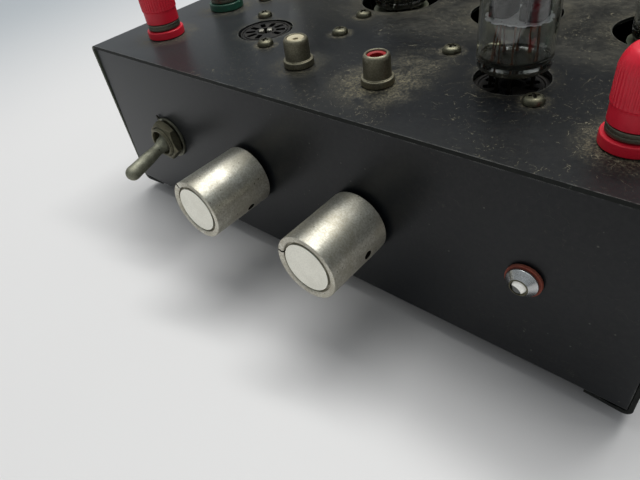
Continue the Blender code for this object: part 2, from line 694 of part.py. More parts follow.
def make_control(side, center, pointer, set_screw):
    """Potentiometer, nut, shaft, knob and inset face; both angles run clockwise from the top."""
    x, z = center
    facing = (math.radians(90), 0, 0)
    at_panel = (x, PANEL_Y, z)
    back = -SHEET - GAP
    shaft_bore = POT_SHAFT_RADIUS + GAP

    shaft_seat = back - POT_SHAFT_SEAT
    pot_profile = [
        (POT_BUSH_RADIUS, POT_BUSH_PROUD),
        (POT_BUSH_RADIUS, back),
        (POT_RADIUS, back),
        (POT_RADIUS, back - POT_DEPTH),
        (0, back - POT_DEPTH),
        (0, shaft_seat - GAP),
        (shaft_bore, shaft_seat - GAP),
        (shaft_bore, POT_BUSH_PROUD),
    ]
    pot = turned(f"pot_{side}", pot_profile, JACK_SIDES, bored=True)
    lug_spots = [(i - (POT_LUG_COUNT - 1) / 2) * POT_LUG_PITCH for i in range(POT_LUG_COUNT)]
    lug_back = back - POT_DEPTH / 2
    lugs = [
        (
            (spot - POT_LUG_WIDTH / 2, -POT_RADIUS - POT_LUG_DROP, lug_back - POT_LUG_THICKNESS),
            (spot + POT_LUG_WIDTH / 2, -POT_RADIUS / 2, lug_back),
        )
        for spot in lug_spots
    ]
    fuse(pot, helper(boxes(f"pot_lugs_{side}", lugs), at_panel, facing))
    place(pot, TUBE_METAL, at_panel, facing)

    nut, bore = hexagon(f"pot_nut_{side}", POT_NUT_WIDTH, POT_NUT_THICKNESS, POT_BUSH_RADIUS + GAP)
    nut_at = (x, PANEL_Y - GAP, z)
    cut(nut, helper(bore, nut_at, facing))
    place(nut, PLATED_STEEL, nut_at, facing)

    front = KNOB_STANDOFF + KNOB_LENGTH
    web_front = front - KNOB_FACE_THICKNESS - GAP
    web_back = web_front - KNOB_WEB
    shaft_front = web_back - GAP
    shaft_profile = [
        (0, shaft_front),
        (POT_SHAFT_RADIUS, shaft_front),
        (POT_SHAFT_RADIUS, shaft_seat),
        (0, shaft_seat),
    ]
    place(turned(f"pot_shaft_{side}", shaft_profile, SMALL_SIDES), PLATED_STEEL, at_panel, facing)

    face_radius = KNOB_RADIUS - KNOB_WALL - KNOB_FACE_CLEARANCE
    pocket = KNOB_RADIUS - KNOB_WALL
    nut_room = POT_NUT_WIDTH / 2 / math.cos(math.pi / 6) + POT_NUT_ROOM
    recess_front = POT_BUSH_PROUD + POT_NUT_ROOM
    knob_profile = [
        (pocket, front),
        (KNOB_RADIUS - KNOB_EDGE, front),
        (KNOB_RADIUS, front - KNOB_EDGE),
        (KNOB_RADIUS, KNOB_STANDOFF),
        (nut_room, KNOB_STANDOFF),
        (nut_room, recess_front),
        (shaft_bore, recess_front),
        (shaft_bore, web_back),
        (0, web_back),
        (0, web_front),
        (pocket, web_front),
    ]
    knob = turned(f"knob_{side}", knob_profile, FINE_SIDES, bored=True)
    slit_half = KNOB_SLIT_WIDTH / 2
    slit = [
        (
            (-slit_half, pocket - KNOB_EDGE, front - KNOB_SLIT_DEPTH),
            (slit_half, KNOB_RADIUS + OVERRUN, front + OVERRUN),
        )
    ]
    turned_to = (math.radians(90), pointer, 0)
    cut(knob, helper(boxes(f"knob_slit_{side}", slit), at_panel, turned_to))
    screw_way = cylinders(
        f"knob_screw_way_{side}", [((0, 0), SET_SCREW_RADIUS, 0, KNOB_RADIUS + OVERRUN)], SMALL_SIDES
    )
    cut(knob, helper(screw_way, (x, PANEL_Y - SET_SCREW_REACH, z), (0, set_screw, 0)))
    place(knob, SATIN_ALUMINIUM, at_panel, facing)

    face_profile = [
        (0, front),
        (face_radius, front),
        (face_radius, front - KNOB_FACE_THICKNESS),
        (0, front - KNOB_FACE_THICKNESS),
    ]
    face = turned(f"knob_face_{side}", face_profile, FINE_SIDES)
    place(face, FACE_ALUMINIUM, at_panel, facing)


def make_lamp():
    """Fibre washer, conical bezel threaded through the panel, and its lens."""
    x, z = LAMP_PLACE
    facing = (math.radians(90), 0, 0)
    at_panel = (x, PANEL_Y, z)
    washer_front = GAP + LAMP_WASHER_THICKNESS
    bezel_back = washer_front + GAP
    bezel_front = bezel_back + LAMP_BEZEL_HEIGHT
    nut_front = -SHEET - GAP
    nut_back = nut_front - LAMP_NUT_THICKNESS
    tail = nut_back - LAMP_TAIL

    washer_profile = ring_profile(LAMP_WASHER_RADIUS, LAMP_THREAD_RADIUS + GAP, LAMP_WASHER_THICKNESS)
    washer = turned("lamp_washer", washer_profile, ROUND_SIDES, bored=True)
    place(washer, FIBRE, (x, PANEL_Y - GAP, z), facing)

    bezel_profile = [
        (LAMP_BORE_RADIUS, bezel_front),
        (LAMP_BEZEL_MOUTH_RADIUS, bezel_front),
        (LAMP_BEZEL_RADIUS, bezel_back + KNOB_EDGE),
        (LAMP_BEZEL_RADIUS, bezel_back),
        (LAMP_THREAD_RADIUS, bezel_back),
        (LAMP_THREAD_RADIUS, nut_front),
        (LAMP_NUT_RADIUS, nut_front),
        (LAMP_NUT_RADIUS, nut_back),
        (LAMP_THREAD_RADIUS, nut_back),
        (LAMP_THREAD_RADIUS, tail),
        (LAMP_BORE_RADIUS, tail),
    ]
    place(turned("lamp_bezel", bezel_profile, SMALL_SIDES, bored=True), CHROME, at_panel, facing)

    steps = 4
    lens_radius = LAMP_BORE_RADIUS - GAP
    dome = [
        (
            lens_radius * math.sin(i * math.pi / 2 / steps),
            bezel_front - LENS_DOME_HEIGHT / 2 + LENS_DOME_HEIGHT * math.cos(i * math.pi / 2 / steps),
        )
        for i in range(steps + 1)
    ]
    lens = turned("lamp_lens", [*dome, (lens_radius, tail), (0, tail)], SMALL_SIDES)
    place(lens, CLEAR_LENS, at_panel, facing)


def make_jack(side, center, insert_material):
    """Phono jack: a plated shell screwed through the plate, with an insulating insert."""
    bore = JACK_SHELL_RADIUS - JACK_SHELL_WALL
    insert_radius = bore - GAP
    nut_top = -SHEET - GAP
    nut_low = nut_top - JACK_NUT_THICKNESS
    tail = nut_top - JACK_THREAD_DROP
    seat = GAP + JACK_FLANGE_THICKNESS - JACK_INSERT_SEAT
    thread_bore = JACK_THREAD_RADIUS - JACK_SHELL_WALL
    shell_profile = [
        (bore, JACK_HEIGHT),
        (JACK_SHELL_RADIUS, JACK_HEIGHT),
        (JACK_SHELL_RADIUS, GAP + JACK_FLANGE_THICKNESS),
        (JACK_FLANGE_RADIUS, GAP + JACK_FLANGE_THICKNESS),
        (JACK_FLANGE_RADIUS, GAP),
        (JACK_THREAD_RADIUS, GAP),
        (JACK_THREAD_RADIUS, nut_top),
        (JACK_NUT_RADIUS, nut_top),
        (JACK_NUT_RADIUS, nut_low),
        (JACK_THREAD_RADIUS, nut_low),
        (JACK_THREAD_RADIUS, tail),
        (thread_bore, tail),
        (thread_bore, seat),
        (bore, seat),
    ]
    shell = turned(f"input_jack_shell_{side}", shell_profile, JACK_SIDES, bored=True)
    place(shell, PLATED_STEEL, (*center, TOP_Z), (0, 0, 0))

    insert_top = JACK_HEIGHT - JACK_INSERT_RECESS
    insert_low = seat + GAP
    contact_floor = insert_low + GAP + GAP
    insert_profile = [
        (JACK_CONTACT_RADIUS, insert_top),
        (insert_radius, insert_top),
        (insert_radius, insert_low),
        (0, insert_low),
        (0, contact_floor),
        (JACK_CONTACT_RADIUS, contact_floor),
    ]
    insert = turned(f"input_jack_insert_{side}", insert_profile, SMALL_SIDES, bored=True)
    place(insert, insert_material, (*center, TOP_Z))


def make_post(name, center, material):
    """Binding post: insulating base, metal stud with its washers, and a screw-down cap."""
    at_plate = (*center, TOP_Z)
    stud_bore = POST_STUD_RADIUS + GAP
    base_low = -SHEET
    base_profile = [
        (POST_BASE_RADIUS, GAP + POST_BASE_HEIGHT),
        (POST_BASE_RADIUS, GAP),
        (POST_BOSS_RADIUS, GAP),
        (POST_BOSS_RADIUS, base_low),
        (stud_bore, base_low),
        (stud_bore, GAP + POST_BASE_HEIGHT),
    ]
    place(turned(f"post_base_{name}", base_profile, JACK_SIDES, bored=True), material, at_plate)

    washer_low = GAP + POST_BASE_HEIGHT + GAP
    washer_high = washer_low + 2 * POST_WASHER_THICKNESS
    crown = POST_HEIGHT
    stud_top = crown - POST_STUD_SINK
    nut_top = base_low - GAP
    tail = nut_top - POST_TAIL
    stud_profile = [
        (POST_JACK_RADIUS, stud_top),
        (POST_STUD_RADIUS, stud_top),
        (POST_STUD_RADIUS, washer_high),
        (POST_WASHER_RADIUS, washer_high),
        (POST_WASHER_RADIUS, washer_low),
        (POST_STUD_RADIUS, washer_low),
        (POST_STUD_RADIUS, nut_top),
        (POST_NUT_RADIUS, nut_top),
        (POST_NUT_RADIUS, nut_top - POST_NUT_THICKNESS),
        (POST_STUD_RADIUS, nut_top - POST_NUT_THICKNESS),
        (POST_STUD_RADIUS, tail),
        (0, tail),
        (0, washer_low),
        (POST_JACK_RADIUS, washer_low),
    ]
    place(turned(f"post_stud_{name}", stud_profile, SCREW_SIDES, bored=True), PLATED_STEEL, at_plate)

    cap_low = washer_high + GAP
    skirt_high = cap_low + POST_SKIRT_HEIGHT
    ribs_low = skirt_high + POST_GROOVE_WIDTH
    ribs_high = ribs_low + POST_RIB_LENGTH
    cap_profile = [
        (0, crown),
        (POST_CROWN_RADIUS, crown),
        (POST_CROWN_RADIUS + POST_CROWN_EDGE, crown - POST_CROWN_EDGE),
        (POST_RIB_RADIUS, ribs_high),
        (POST_RIB_RADIUS, ribs_low),
        (POST_SKIRT_RADIUS, skirt_high),
        (POST_SKIRT_RADIUS, cap_low),
        (0, cap_low),
    ]
    cap = ribbed(f"post_cap_{name}", cap_profile, ribs_low, ribs_high)
    bore = cylinders(f"post_cap_bore_{name}", [((0, 0), stud_bore, cap_low - OVERRUN, stud_top + GAP)])
    mouth = cylinders(f"post_cap_mouth_{name}", [((0, 0), POST_JACK_RADIUS, cap_low, crown + OVERRUN)])
    cut(cap, helper(bore, at_plate), helper(mouth, at_plate))
    place(cap, material, at_plate)


def ribbed(name, profile, low, high):
    """A profile spun about Z, whose every other edge is drawn in between two heights."""
    builder = bmesh.new()
    verts = [builder.verts.new((radius, 0, height)) for radius, height in profile]
    edges = [builder.edges.new(pair) for pair in zip(verts, verts[1:])]
    steps = 2 * POST_RIB_COUNT
    bmesh.ops.spin(
        builder, geom=[*verts, *edges], cent=(0, 0, 0), axis=(0, 0, 1), angle=FULL_TURN, steps=steps
    )
    bmesh.ops.remove_doubles(builder, verts=builder.verts, dist=MERGE)
    bmesh.ops.recalc_face_normals(builder, faces=builder.faces)
    valley_share = 1 - POST_RIB_DEPTH / POST_RIB_RADIUS
    for vert in builder.verts:
        spoke = round(math.atan2(vert.co.y, vert.co.x) * steps / FULL_TURN)
        if spoke % 2 and low - MERGE < vert.co.z < high + MERGE:
            vert.co.x *= valley_share
            vert.co.y *= valley_share
    return object_from(name, builder)


def pin_angles():
    return [i * FULL_TURN / PIN_PLACES for i in range(PIN_COUNT)]


def make_driver_socket(side, center):
    """Noval socket screwed under the plate, its spigot flush in the plate's hole."""
    top = -SHEET - GAP
    floor = top - SOCKET_DEPTH
    profile = [
        (0, -SPIGOT_RECESS),
        (SPIGOT_RADIUS, -SPIGOT_RECESS),
        (SPIGOT_RADIUS, top),
        (SOCKET_RADIUS, top),
        (SOCKET_RADIUS, floor),
        (0, floor),
    ]
    at_plate = (*center, TOP_Z)
    socket = turned(f"driver_socket_{side}", profile, ROUND_SIDES)
    ear_reach = SOCKET_SCREW_RADIUS + SOCKET_EAR_WIDTH / 2
    half_ear = SOCKET_EAR_WIDTH / 2
    builder = bmesh.new()
    ear_low = (-ear_reach, -half_ear, top - SOCKET_EAR_THICKNESS)
    add_box(builder, ear_low, (ear_reach, half_ear, top), SOCKET_SCREW_ANGLE)
    ears = object_from(f"socket_ears_{side}", builder)
    fuse(socket, helper(ears, at_plate))

    builder = bmesh.new()
    half_lug = SOCKET_LUG_THICKNESS / 2
    for angle in pin_angles():
        low = (PIN_CIRCLE_RADIUS - half_lug, -SOCKET_LUG_WIDTH / 2, floor - SOCKET_LUG_LENGTH)
        high = (PIN_CIRCLE_RADIUS + half_lug, SOCKET_LUG_WIDTH / 2, floor + SOCKET_EAR_THICKNESS)
        add_box(builder, low, high, angle)
    fuse(socket, helper(object_from(f"socket_lugs_{side}", builder), at_plate))

    builder = bmesh.new()
    slot_floor = TUBE_SEAT_LIFT - PIN_LENGTH - SPIGOT_RECESS - OVERRUN
    half_slot = PIN_SLOT_WIDTH / 2
    for angle in pin_angles():
        low = (PIN_CIRCLE_RADIUS - PIN_SLOT_LENGTH / 2, -half_slot, slot_floor)
        high = (PIN_CIRCLE_RADIUS + PIN_SLOT_LENGTH / 2, half_slot, OVERRUN)
        add_box(builder, low, high, angle)
    add_cylinder(builder, (0, 0), KEY_HOLE_RADIUS, slot_floor, OVERRUN, HOLE_SIDES)
    cut(socket, helper(object_from(f"socket_slots_{side}", builder), at_plate))

    screw_holes = [
        (around((0, 0), SOCKET_SCREW_RADIUS, SOCKET_SCREW_ANGLE + turn), SCREW_RADIUS + GAP, floor, 0)
        for turn in (0, math.pi)
    ]
    cut(socket, helper(cylinders(f"socket_screw_holes_{side}", screw_holes, HOLE_SIDES), at_plate))
    place(socket, BAKELITE, at_plate)


def envelope_profile(radius, height, foot):
    """Outer line of a small glass tube, from its sealed tip down to the foot."""
    dome_steps = 3
    rise = TUBE_TIP_HEIGHT - TUBE_TIP_RADIUS
    dome_base = height - TUBE_TIP_HEIGHT - rise
    tip = [(0, height), (TUBE_TIP_RADIUS / 2, height - TUBE_TIP_RADIUS / 2)]
    dome = []
    for i in range(dome_steps + 1):
        angle = i * math.pi / 2 / dome_steps
        reach = TUBE_TIP_RADIUS + (radius - TUBE_TIP_RADIUS) * math.sin(angle)
        dome.append((reach, dome_base + 2 * rise * math.cos(angle)))
    return [*tip, *dome, (radius, foot), (radius - foot, 0)]


def pin_specs(top, length):
    centers = [around((0, 0), PIN_CIRCLE_RADIUS, angle) for angle in pin_angles()]
    return [(center, PIN_RADIUS, top - length, top) for center in centers]


def make_driver_tube(center):
    """Glass envelope, and the mount inside it: button stem, pins, leads, micas, plates and getter."""
    base = -SPIGOT_RECESS + TUBE_SEAT_LIFT
    at_seat = (*center, TOP_Z + base)
    bore = TUBE_RADIUS - TUBE_WALL
    outer = envelope_profile(TUBE_RADIUS, TUBE_HEIGHT, TUBE_FOOT_ROUNDING)
    ceiling = TUBE_HEIGHT - TUBE_TIP_HEIGHT - TUBE_WALL
    foot_bore = TUBE_RADIUS - TUBE_FOOT_ROUNDING - TUBE_WALL
    inner = [
        (foot_bore, 0),
        (foot_bore, BUTTON_THICKNESS),
        (bore, BUTTON_THICKNESS + TUBE_WALL),
        (bore, ceiling - TUBE_TIP_HEIGHT),
        (0, ceiling),
    ]
    profile = [*outer, *inner]
    glass = turned("driver_tube_glass", profile, ROUND_SIDES)
    place(glass, TUBE_GLASS, at_seat)

    button_radius = foot_bore - GAP
    mica_radius = bore - GAP
    low_mica = LOWER_MICA_HEIGHT
    high_mica = low_mica + MICA_THICKNESS + PLATE_STACK_HEIGHT
    stack_low = low_mica + MICA_THICKNESS / 2
    stack_high = high_mica + MICA_THICKNESS / 2
    mount_profile = [(0, BUTTON_THICKNESS), (button_radius, BUTTON_THICKNESS), (button_radius, 0), (0, 0)]
    mount = turned("driver_tube_mount", mount_profile, ROUND_SIDES)
    micas = cylinders(
        "micas",
        [
            ((0, 0), mica_radius, low_mica, low_mica + MICA_THICKNESS),
            ((0, 0), mica_radius, high_mica, high_mica + MICA_THICKNESS),
        ],
        JACK_SIDES,
    )
    plates = cylinders(
        "plates",
        [((side * PLATE_OFFSET, 0), PLATE_RADIUS, stack_low, stack_high) for side in (-1, 1)],
        SMALL_SIDES,
    )
    lead_low, lead_high = BUTTON_THICKNESS / 2, low_mica + MICA_THICKNESS / 2
    lead_angles = [(i + 0.5) * FULL_TURN / LEAD_COUNT for i in range(LEAD_COUNT)]
    leads = [
        (around((0, 0), LEAD_CIRCLE_RADIUS, angle), LEAD_RADIUS, lead_low, lead_high)
        for angle in lead_angles
    ]
    getter_low = high_mica + MICA_THICKNESS / 2
    getter_high = getter_low + GETTER_POST_HEIGHT
    getter = [
        (0, getter_high + GETTER_THICKNESS),
        (GETTER_RADIUS, getter_high + GETTER_THICKNESS),
        (GETTER_RADIUS, getter_high),
        (LEAD_RADIUS, getter_high),
        (LEAD_RADIUS, getter_low),
        (0, getter_low),
    ]
    pins = pin_specs(BUTTON_THICKNESS / 2, PIN_LENGTH + BUTTON_THICKNESS / 2)
    fuse(
        mount,
        helper(cylinders("tube_leads", leads, PIN_SIDES), at_seat),
        helper(micas, at_seat),
        helper(plates, at_seat),
        helper(turned("getter", getter, GETTER_SIDES), at_seat),
        helper(cylinders("driver_tube_pins", pins, PIN_SIDES), at_seat),
    )
    place(mount, TUBE_METAL, at_seat)


def make_power_tube(number, center):
    """A sealed power tube, with the pins that plug into the board's socket."""
    at_seat = (*center, TOP_Z - POWER_BASE_DROP)
    profile = [*envelope_profile(TUBE_RADIUS, POWER_TUBE_HEIGHT, TUBE_FOOT_ROUNDING), (0, 0)]
    tube = turned(f"power_tube_{number}", profile, SMALL_SIDES)
    pins = pin_specs(TUBE_FOOT_ROUNDING, PIN_LENGTH + TUBE_FOOT_ROUNDING)
    fuse(tube, helper(cylinders(f"power_tube_pins_{number}", pins, PIN_SIDES), at_seat))
    place(tube, TUBE_GLASS, at_seat)


def make_board():
    """Circuit board with the power tubes' soldered sockets, its standoffs and its reservoir capacitors."""
    xs = [x for x, _ in POWER_PLACES]
    power_y = POWER_PLACES[0][1]
    tongue = BOARD_SCREW_PLACES[:2]
    tongue_x = [x for x, _ in tongue]
    tongue_y = min(y for _, y in tongue)
    front = min(y for _, y in BOARD_SCREW_PLACES[2:]) - BOARD_TONGUE_MARGIN
    rear = power_y + POWER_SOCKET_RADIUS + BOARD_TONGUE_MARGIN
    top, low = BOARD_TOP_Z, BOARD_TOP_Z - BOARD_THICKNESS
    board = boxes(
        "power_board",
        [((min(xs) - BOARD_MARGIN, front, low), (max(xs) + BOARD_MARGIN, rear, top))],
    )
    tongue_box = (
        (min(tongue_x) - BOARD_TONGUE_MARGIN, tongue_y - BOARD_TONGUE_MARGIN, low),
        (max(tongue_x) + BOARD_TONGUE_MARGIN, front + BOARD_TONGUE_MARGIN, top),
    )
    fuse(board, helper(boxes("board_tongue", [tongue_box])))
    root = top - BOARD_THICKNESS / 2
    socket_specs = [(spot, POWER_SOCKET_RADIUS, root, top + POWER_SOCKET_HEIGHT) for spot in POWER_PLACES]
    fuse(board, helper(cylinders("power_sockets", socket_specs, ROUND_SIDES)))
    standoffs = [(spot, STANDOFF_RADIUS, root, UNDER_Z - GAP) for spot in BOARD_SCREW_PLACES]
    fuse(board, helper(cylinders("board_standoffs", standoffs, SMALL_SIDES)))
    can_low = low - CAPACITOR_LENGTH
    cans = [
        (plate_point(x, POWER_Y_SHARE), CAPACITOR_RADIUS, can_low, root) for x in CAPACITOR_X_SHARES
    ]
    can_object = cylinders("capacitors", cans, SMALL_SIDES)
    bevel(can_object, CAPACITOR_EDGE, 1)
    fuse(board, helper(can_object))

    builder = bmesh.new()
    reach = POWER_SOCKET_HEIGHT + OVERRUN
    for x, y in POWER_PLACES:
        for angle in pin_angles():
            pin = around((x, y), PIN_CIRCLE_RADIUS, angle)
            add_cylinder(builder, pin, PIN_SLOT_WIDTH / 2, top + BOARD_THICKNESS / 2, top + reach, PIN_SIDES)
    cut(board, helper(object_from("power_pin_holes", builder)))
    screw_floor = UNDER_Z - SCREW_LENGTH - OVERRUN
    screw_ways = [(spot, SCREW_RADIUS + GAP, screw_floor, UNDER_Z + OVERRUN) for spot in BOARD_SCREW_PLACES]
    cut(board, helper(cylinders("board_screw_ways", screw_ways, HOLE_SIDES)))
    place(board, CIRCUIT_BOARD)


def make_screw(name, center, nut=False):
    """Pan head screw with a cross recess, and its nut where it clamps a socket's ear."""
    head_low = GAP
    head_high = head_low + SCREW_HEAD_HEIGHT
    crown = SCREW_HEAD_RADIUS * SCREW_HEAD_CROWN_SHARE
    profile = [
        (0, head_high),
        (crown, head_high),
        (SCREW_HEAD_RADIUS, head_low),
        (SCREW_RADIUS, head_low),
    ]
    if nut:
        nut_top = -SHEET - GAP - SOCKET_EAR_THICKNESS - GAP
        nut_low = nut_top - SCREW_NUT_THICKNESS
        profile += [(SCREW_RADIUS, nut_top), (SCREW_NUT_RADIUS, nut_top)]
        profile += [(SCREW_NUT_RADIUS, nut_low), (SCREW_RADIUS, nut_low)]
    profile += [(SCREW_RADIUS, -SCREW_LENGTH), (0, -SCREW_LENGTH)]
    screw = turned(name, profile, SCREW_SIDES)
    half_width, half_span = SCREW_RECESS_WIDTH / 2, SCREW_RECESS_SPAN / 2
    floor = head_high - SCREW_RECESS_DEPTH
    ceiling = head_high + OVERRUN
    arm = boxes(f"{name}_recess", [((-half_span, -half_width, floor), (half_span, half_width, ceiling))])
    other = boxes(f"{name}_recess_2", [((-half_width, -half_span, floor), (half_width, half_span, ceiling))])
    at_plate = (*center, TOP_Z)
    cut(screw, helper(arm, at_plate), helper(other, at_plate))
    place(screw, PLATED_STEEL, at_plate)


def make_transformer(name, x, width, stack, height):
    """Laminated core with pressed end bells, standing on lips along its front and back."""
    y = PANEL_Y + TRANSFORMER_Y_SHARE * CHASSIS_DEPTH
    low = TOP_Z + GAP
    half = (width / 2, stack / 2)
    core = boxes(name, [((x - half[0], y - half[1], low), (x + half[0], y + half[1], low + height))])
    reach = half[1] + BELL_DEPTH
    bell = boxes(
        f"{name}_bells",
        [
            (
                (x - half[0] + BELL_MARGIN, y - reach, low + BELL_MARGIN),
                (x + half[0] - BELL_MARGIN, y + reach, low + height - BELL_MARGIN),
            )
        ],
    )
    bevel(bell, BELL_ROUNDING, 2)
    fuse(core, helper(bell))
    lip_reach = half[1] + TRANSFORMER_LIP
    lip = ((x - half[0], y - lip_reach, low), (x + half[0], y + lip_reach, low + TRANSFORMER_LIP_THICKNESS))
    fuse(core, helper(boxes(f"{name}_lips", [lip])))
    bolt_x = half[0] - TRANSFORMER_LIP / 2
    bolt_y = half[1] + TRANSFORMER_LIP / 2
    bolt_low = low + TRANSFORMER_LIP_THICKNESS / 2
    bolt_high = low + TRANSFORMER_LIP_THICKNESS + TRANSFORMER_BOLT_HEIGHT
    bolts = [
        ((x + sx * bolt_x, y + sy * bolt_y), TRANSFORMER_BOLT_RADIUS, bolt_low, bolt_high)
        for sx in (-1, 1)
        for sy in (-1, 1)
    ]
    fuse(core, helper(cylinders(f"{name}_bolts", bolts, 6)))
    place(core, CORE_STEEL)


def make_inlet():
    """Snap-in mains inlet: a flanged plastic shell with three blades, pushed in from behind."""
    x, z = INLET_PLACE
    outer = REAR_PANEL_Y + GAP + INLET_FLANGE_THICKNESS
    flange_front = REAR_PANEL_Y + GAP
    shell_front = outer - INLET_DEPTH
    flange = boxes(
        "mains_inlet",
        [
            (
                (x - INLET_FLANGE_WIDTH / 2, flange_front, z - INLET_FLANGE_HEIGHT / 2),
                (x + INLET_FLANGE_WIDTH / 2, outer, z + INLET_FLANGE_HEIGHT / 2),
            )
        ],
    )
    bevel(flange, INLET_EDGE, 2)
    shell = boxes(
        "inlet_shell",
        [
            (
                (x - INLET_WIDTH / 2, shell_front, z - INLET_HEIGHT / 2),
                (x + INLET_WIDTH / 2, outer - INLET_EDGE, z + INLET_HEIGHT / 2),
            )
        ],
    )
    fuse(flange, helper(shell))
    mouth_floor = outer - INLET_MOUTH_DEPTH
    mouth = boxes(
        "inlet_mouth",
        [
            (
                (x - INLET_MOUTH_WIDTH / 2, mouth_floor, z - INLET_MOUTH_HEIGHT / 2),
                (x + INLET_MOUTH_WIDTH / 2, outer + OVERRUN, z + INLET_MOUTH_HEIGHT / 2),
            )
        ],
    )
    cut(flange, helper(mouth))
    pin_end = outer - INLET_PIN_SHORTFALL
    half_w, half_h = INLET_PIN_WIDTH / 2, INLET_PIN_HEIGHT / 2
    spots = [(-INLET_PIN_SPREAD, -INLET_PIN_RISE), (0, INLET_PIN_RISE), (INLET_PIN_SPREAD, -INLET_PIN_RISE)]
    blades = [
        (
            (x + px - half_w, mouth_floor - INLET_EDGE, z + pz - half_h),
            (x + px + half_w, pin_end, z + pz + half_h),
        )
        for px, pz in spots
    ]
    fuse(flange, helper(boxes("inlet_blades", blades)))
    place(flange, INLET_PLASTIC)


make_cover()
make_tray()
for foot_name, foot_center in FOOT_PLACES.items():
    make_foot(f"foot_{foot_name}", foot_center)
make_toggle()
for control in zip(SIDES, KNOB_PLACES, POINTER_ANGLES, SET_SCREW_ANGLES):
    make_control(*control)
make_lamp()
for jack_side, jack_center, jack_material in zip(SIDES, JACK_PLACES, (WHITE_PLASTIC, RED_PLASTIC)):
    make_jack(jack_side, jack_center, jack_material)
for post_name, post_center in POST_PLACES.items():
    make_post(post_name, post_center, RED_PLASTIC if post_name.endswith("front") else GREEN_PLASTIC)
for socket_side, socket_center in zip(SIDES, DRIVER_PLACES):
    make_driver_socket(socket_side, socket_center)
make_driver_tube(DRIVER_PLACES[1])
for tube_number, tube_center in enumerate(POWER_PLACES, start=1):
    make_power_tube(tube_number, tube_center)
make_board()
for screw_name, screw_center in SOCKET_SCREW_PLACES.items():
    make_screw(f"socket_screw_{screw_name}", screw_center, nut=True)
for board_number, board_center in enumerate(BOARD_SCREW_PLACES, start=1):
    make_screw(f"board_screw_{board_number}", board_center)
OUTPUT_X = (MAINS_CORE_WIDTH + OUTPUT_CORE_WIDTH) / 2 + TRANSFORMER_GAP
make_transformer("mains_transformer", 0.0, MAINS_CORE_WIDTH, MAINS_CORE_STACK, MAINS_CORE_HEIGHT)
for output_side, output_sign in zip(SIDES, (-1, 1)):
    make_transformer(
        f"output_transformer_{output_side}",
        output_sign * OUTPUT_X,
        OUTPUT_CORE_WIDTH,
        OUTPUT_CORE_STACK,
        OUTPUT_CORE_HEIGHT,
    )
make_inlet()
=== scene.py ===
"""Looks of the desktop stereo tube amplifier: its fine pieces, finishes, light and camera."""

import math
import random

import bmesh
import bpy
from mathutils import Matrix, Vector


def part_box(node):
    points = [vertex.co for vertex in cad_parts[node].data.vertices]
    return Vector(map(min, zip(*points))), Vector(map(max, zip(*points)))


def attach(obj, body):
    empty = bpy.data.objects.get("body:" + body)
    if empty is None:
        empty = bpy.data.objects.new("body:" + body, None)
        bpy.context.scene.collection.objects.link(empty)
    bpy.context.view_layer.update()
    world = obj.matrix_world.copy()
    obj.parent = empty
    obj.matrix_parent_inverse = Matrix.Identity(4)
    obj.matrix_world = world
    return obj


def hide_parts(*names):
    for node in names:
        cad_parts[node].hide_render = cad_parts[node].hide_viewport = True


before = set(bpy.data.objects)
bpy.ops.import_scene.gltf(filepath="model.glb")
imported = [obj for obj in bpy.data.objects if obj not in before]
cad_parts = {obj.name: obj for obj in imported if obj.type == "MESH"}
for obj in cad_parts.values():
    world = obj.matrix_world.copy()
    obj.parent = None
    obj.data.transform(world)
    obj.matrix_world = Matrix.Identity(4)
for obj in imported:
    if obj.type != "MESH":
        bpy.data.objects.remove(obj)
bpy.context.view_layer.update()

FULL_TURN = 2 * math.pi
QUARTER_TURN = math.pi / 2
FACING = (QUARTER_TURN, 0, 0)  # turns local Z out of the front panel
BLACK = (0.0, 0.0, 0.0, 1)
WHITE = (1.0, 1.0, 1.0, 1)
GAP = 0.0003
SHEET = 0.0012
SMOOTH_ANGLE = math.radians(32)
ROUNDING_STEPS = 3

COVER_LOW, COVER_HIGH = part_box("chassis_cover")
TRAY_LOW, TRAY_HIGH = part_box("chassis_tray")
TOP_Z = COVER_HIGH.z
FRONT_Y = COVER_LOW.y
BACK_Y = COVER_HIGH.y
HALF_WIDTH = COVER_HIGH.x
PANEL_Y = TRAY_LOW.y
REAR_PANEL_Y = TRAY_HIGH.y

SIDES = ("left", "right")
POSTS = ("left_front", "left_rear", "right_front", "right_rear")
SCREWS = [f"socket_screw_{name}" for name in POSTS] + [f"board_screw_{i}" for i in range(1, 5)]

# Noval pin circle
PIN_CIRCLE = 0.00595
PIN_PLACES = 10
PIN_COUNT = 9

# The camera, fitted to the photograph's edges and round features
CAMERA_PLACE = (0.10841, -0.18180, 0.14159)
CAMERA_AIM = (-0.5486, 0.5235, -0.6519)
CAMERA_UP = (-0.3524, 0.5622, 0.7481)
SENSOR_WIDTH = 36.0
LENS = 29.95
NEAREST_SEEN = 0.01

# Lamps: name, place, target, size, power, colour
LAMPS = (
    ("ceiling_tube", (-0.10, 0.42, 1.12), (0.0, 0.0, 0.03), (1.1, 0.14), 5.6, (1.0, 0.992, 0.972)),
    ("soft_overhead", (-0.08, 0.17, 1.28), (0.0, 0.0, 0.0), (1.2, 0.60), 8.8, (1.0, 0.995, 0.98)),
)
TABLE_HALF = 2.5

# Sizes shared by the small tubes' parts
PIP_SHOULDER = 0.0022
MICA_RADIUS = 0.0088
MICA_TEETH = 14
PLATE_RIBS = 4
PLATE_SPREAD = 0.0042

# A transformer's end bell: how far out and how much smaller each step of the pressing is
BELL_DEPTH = 0.0125
BELL_STEPS = (
    (0.0, 0.0),
    (0.0008, 0.0),
    (0.0010, 0.0030),
    (0.0020, 0.0042),
    (0.0085, 0.0052),
    (0.0108, 0.0066),
    (0.0120, 0.0088),
    (BELL_DEPTH, 0.0120),
)


# The camera, the table and the light


def linked(name, data):
    """A new object in the scene."""
    found = bpy.data.objects.new(name, data)
    bpy.context.scene.collection.objects.link(found)
    return found


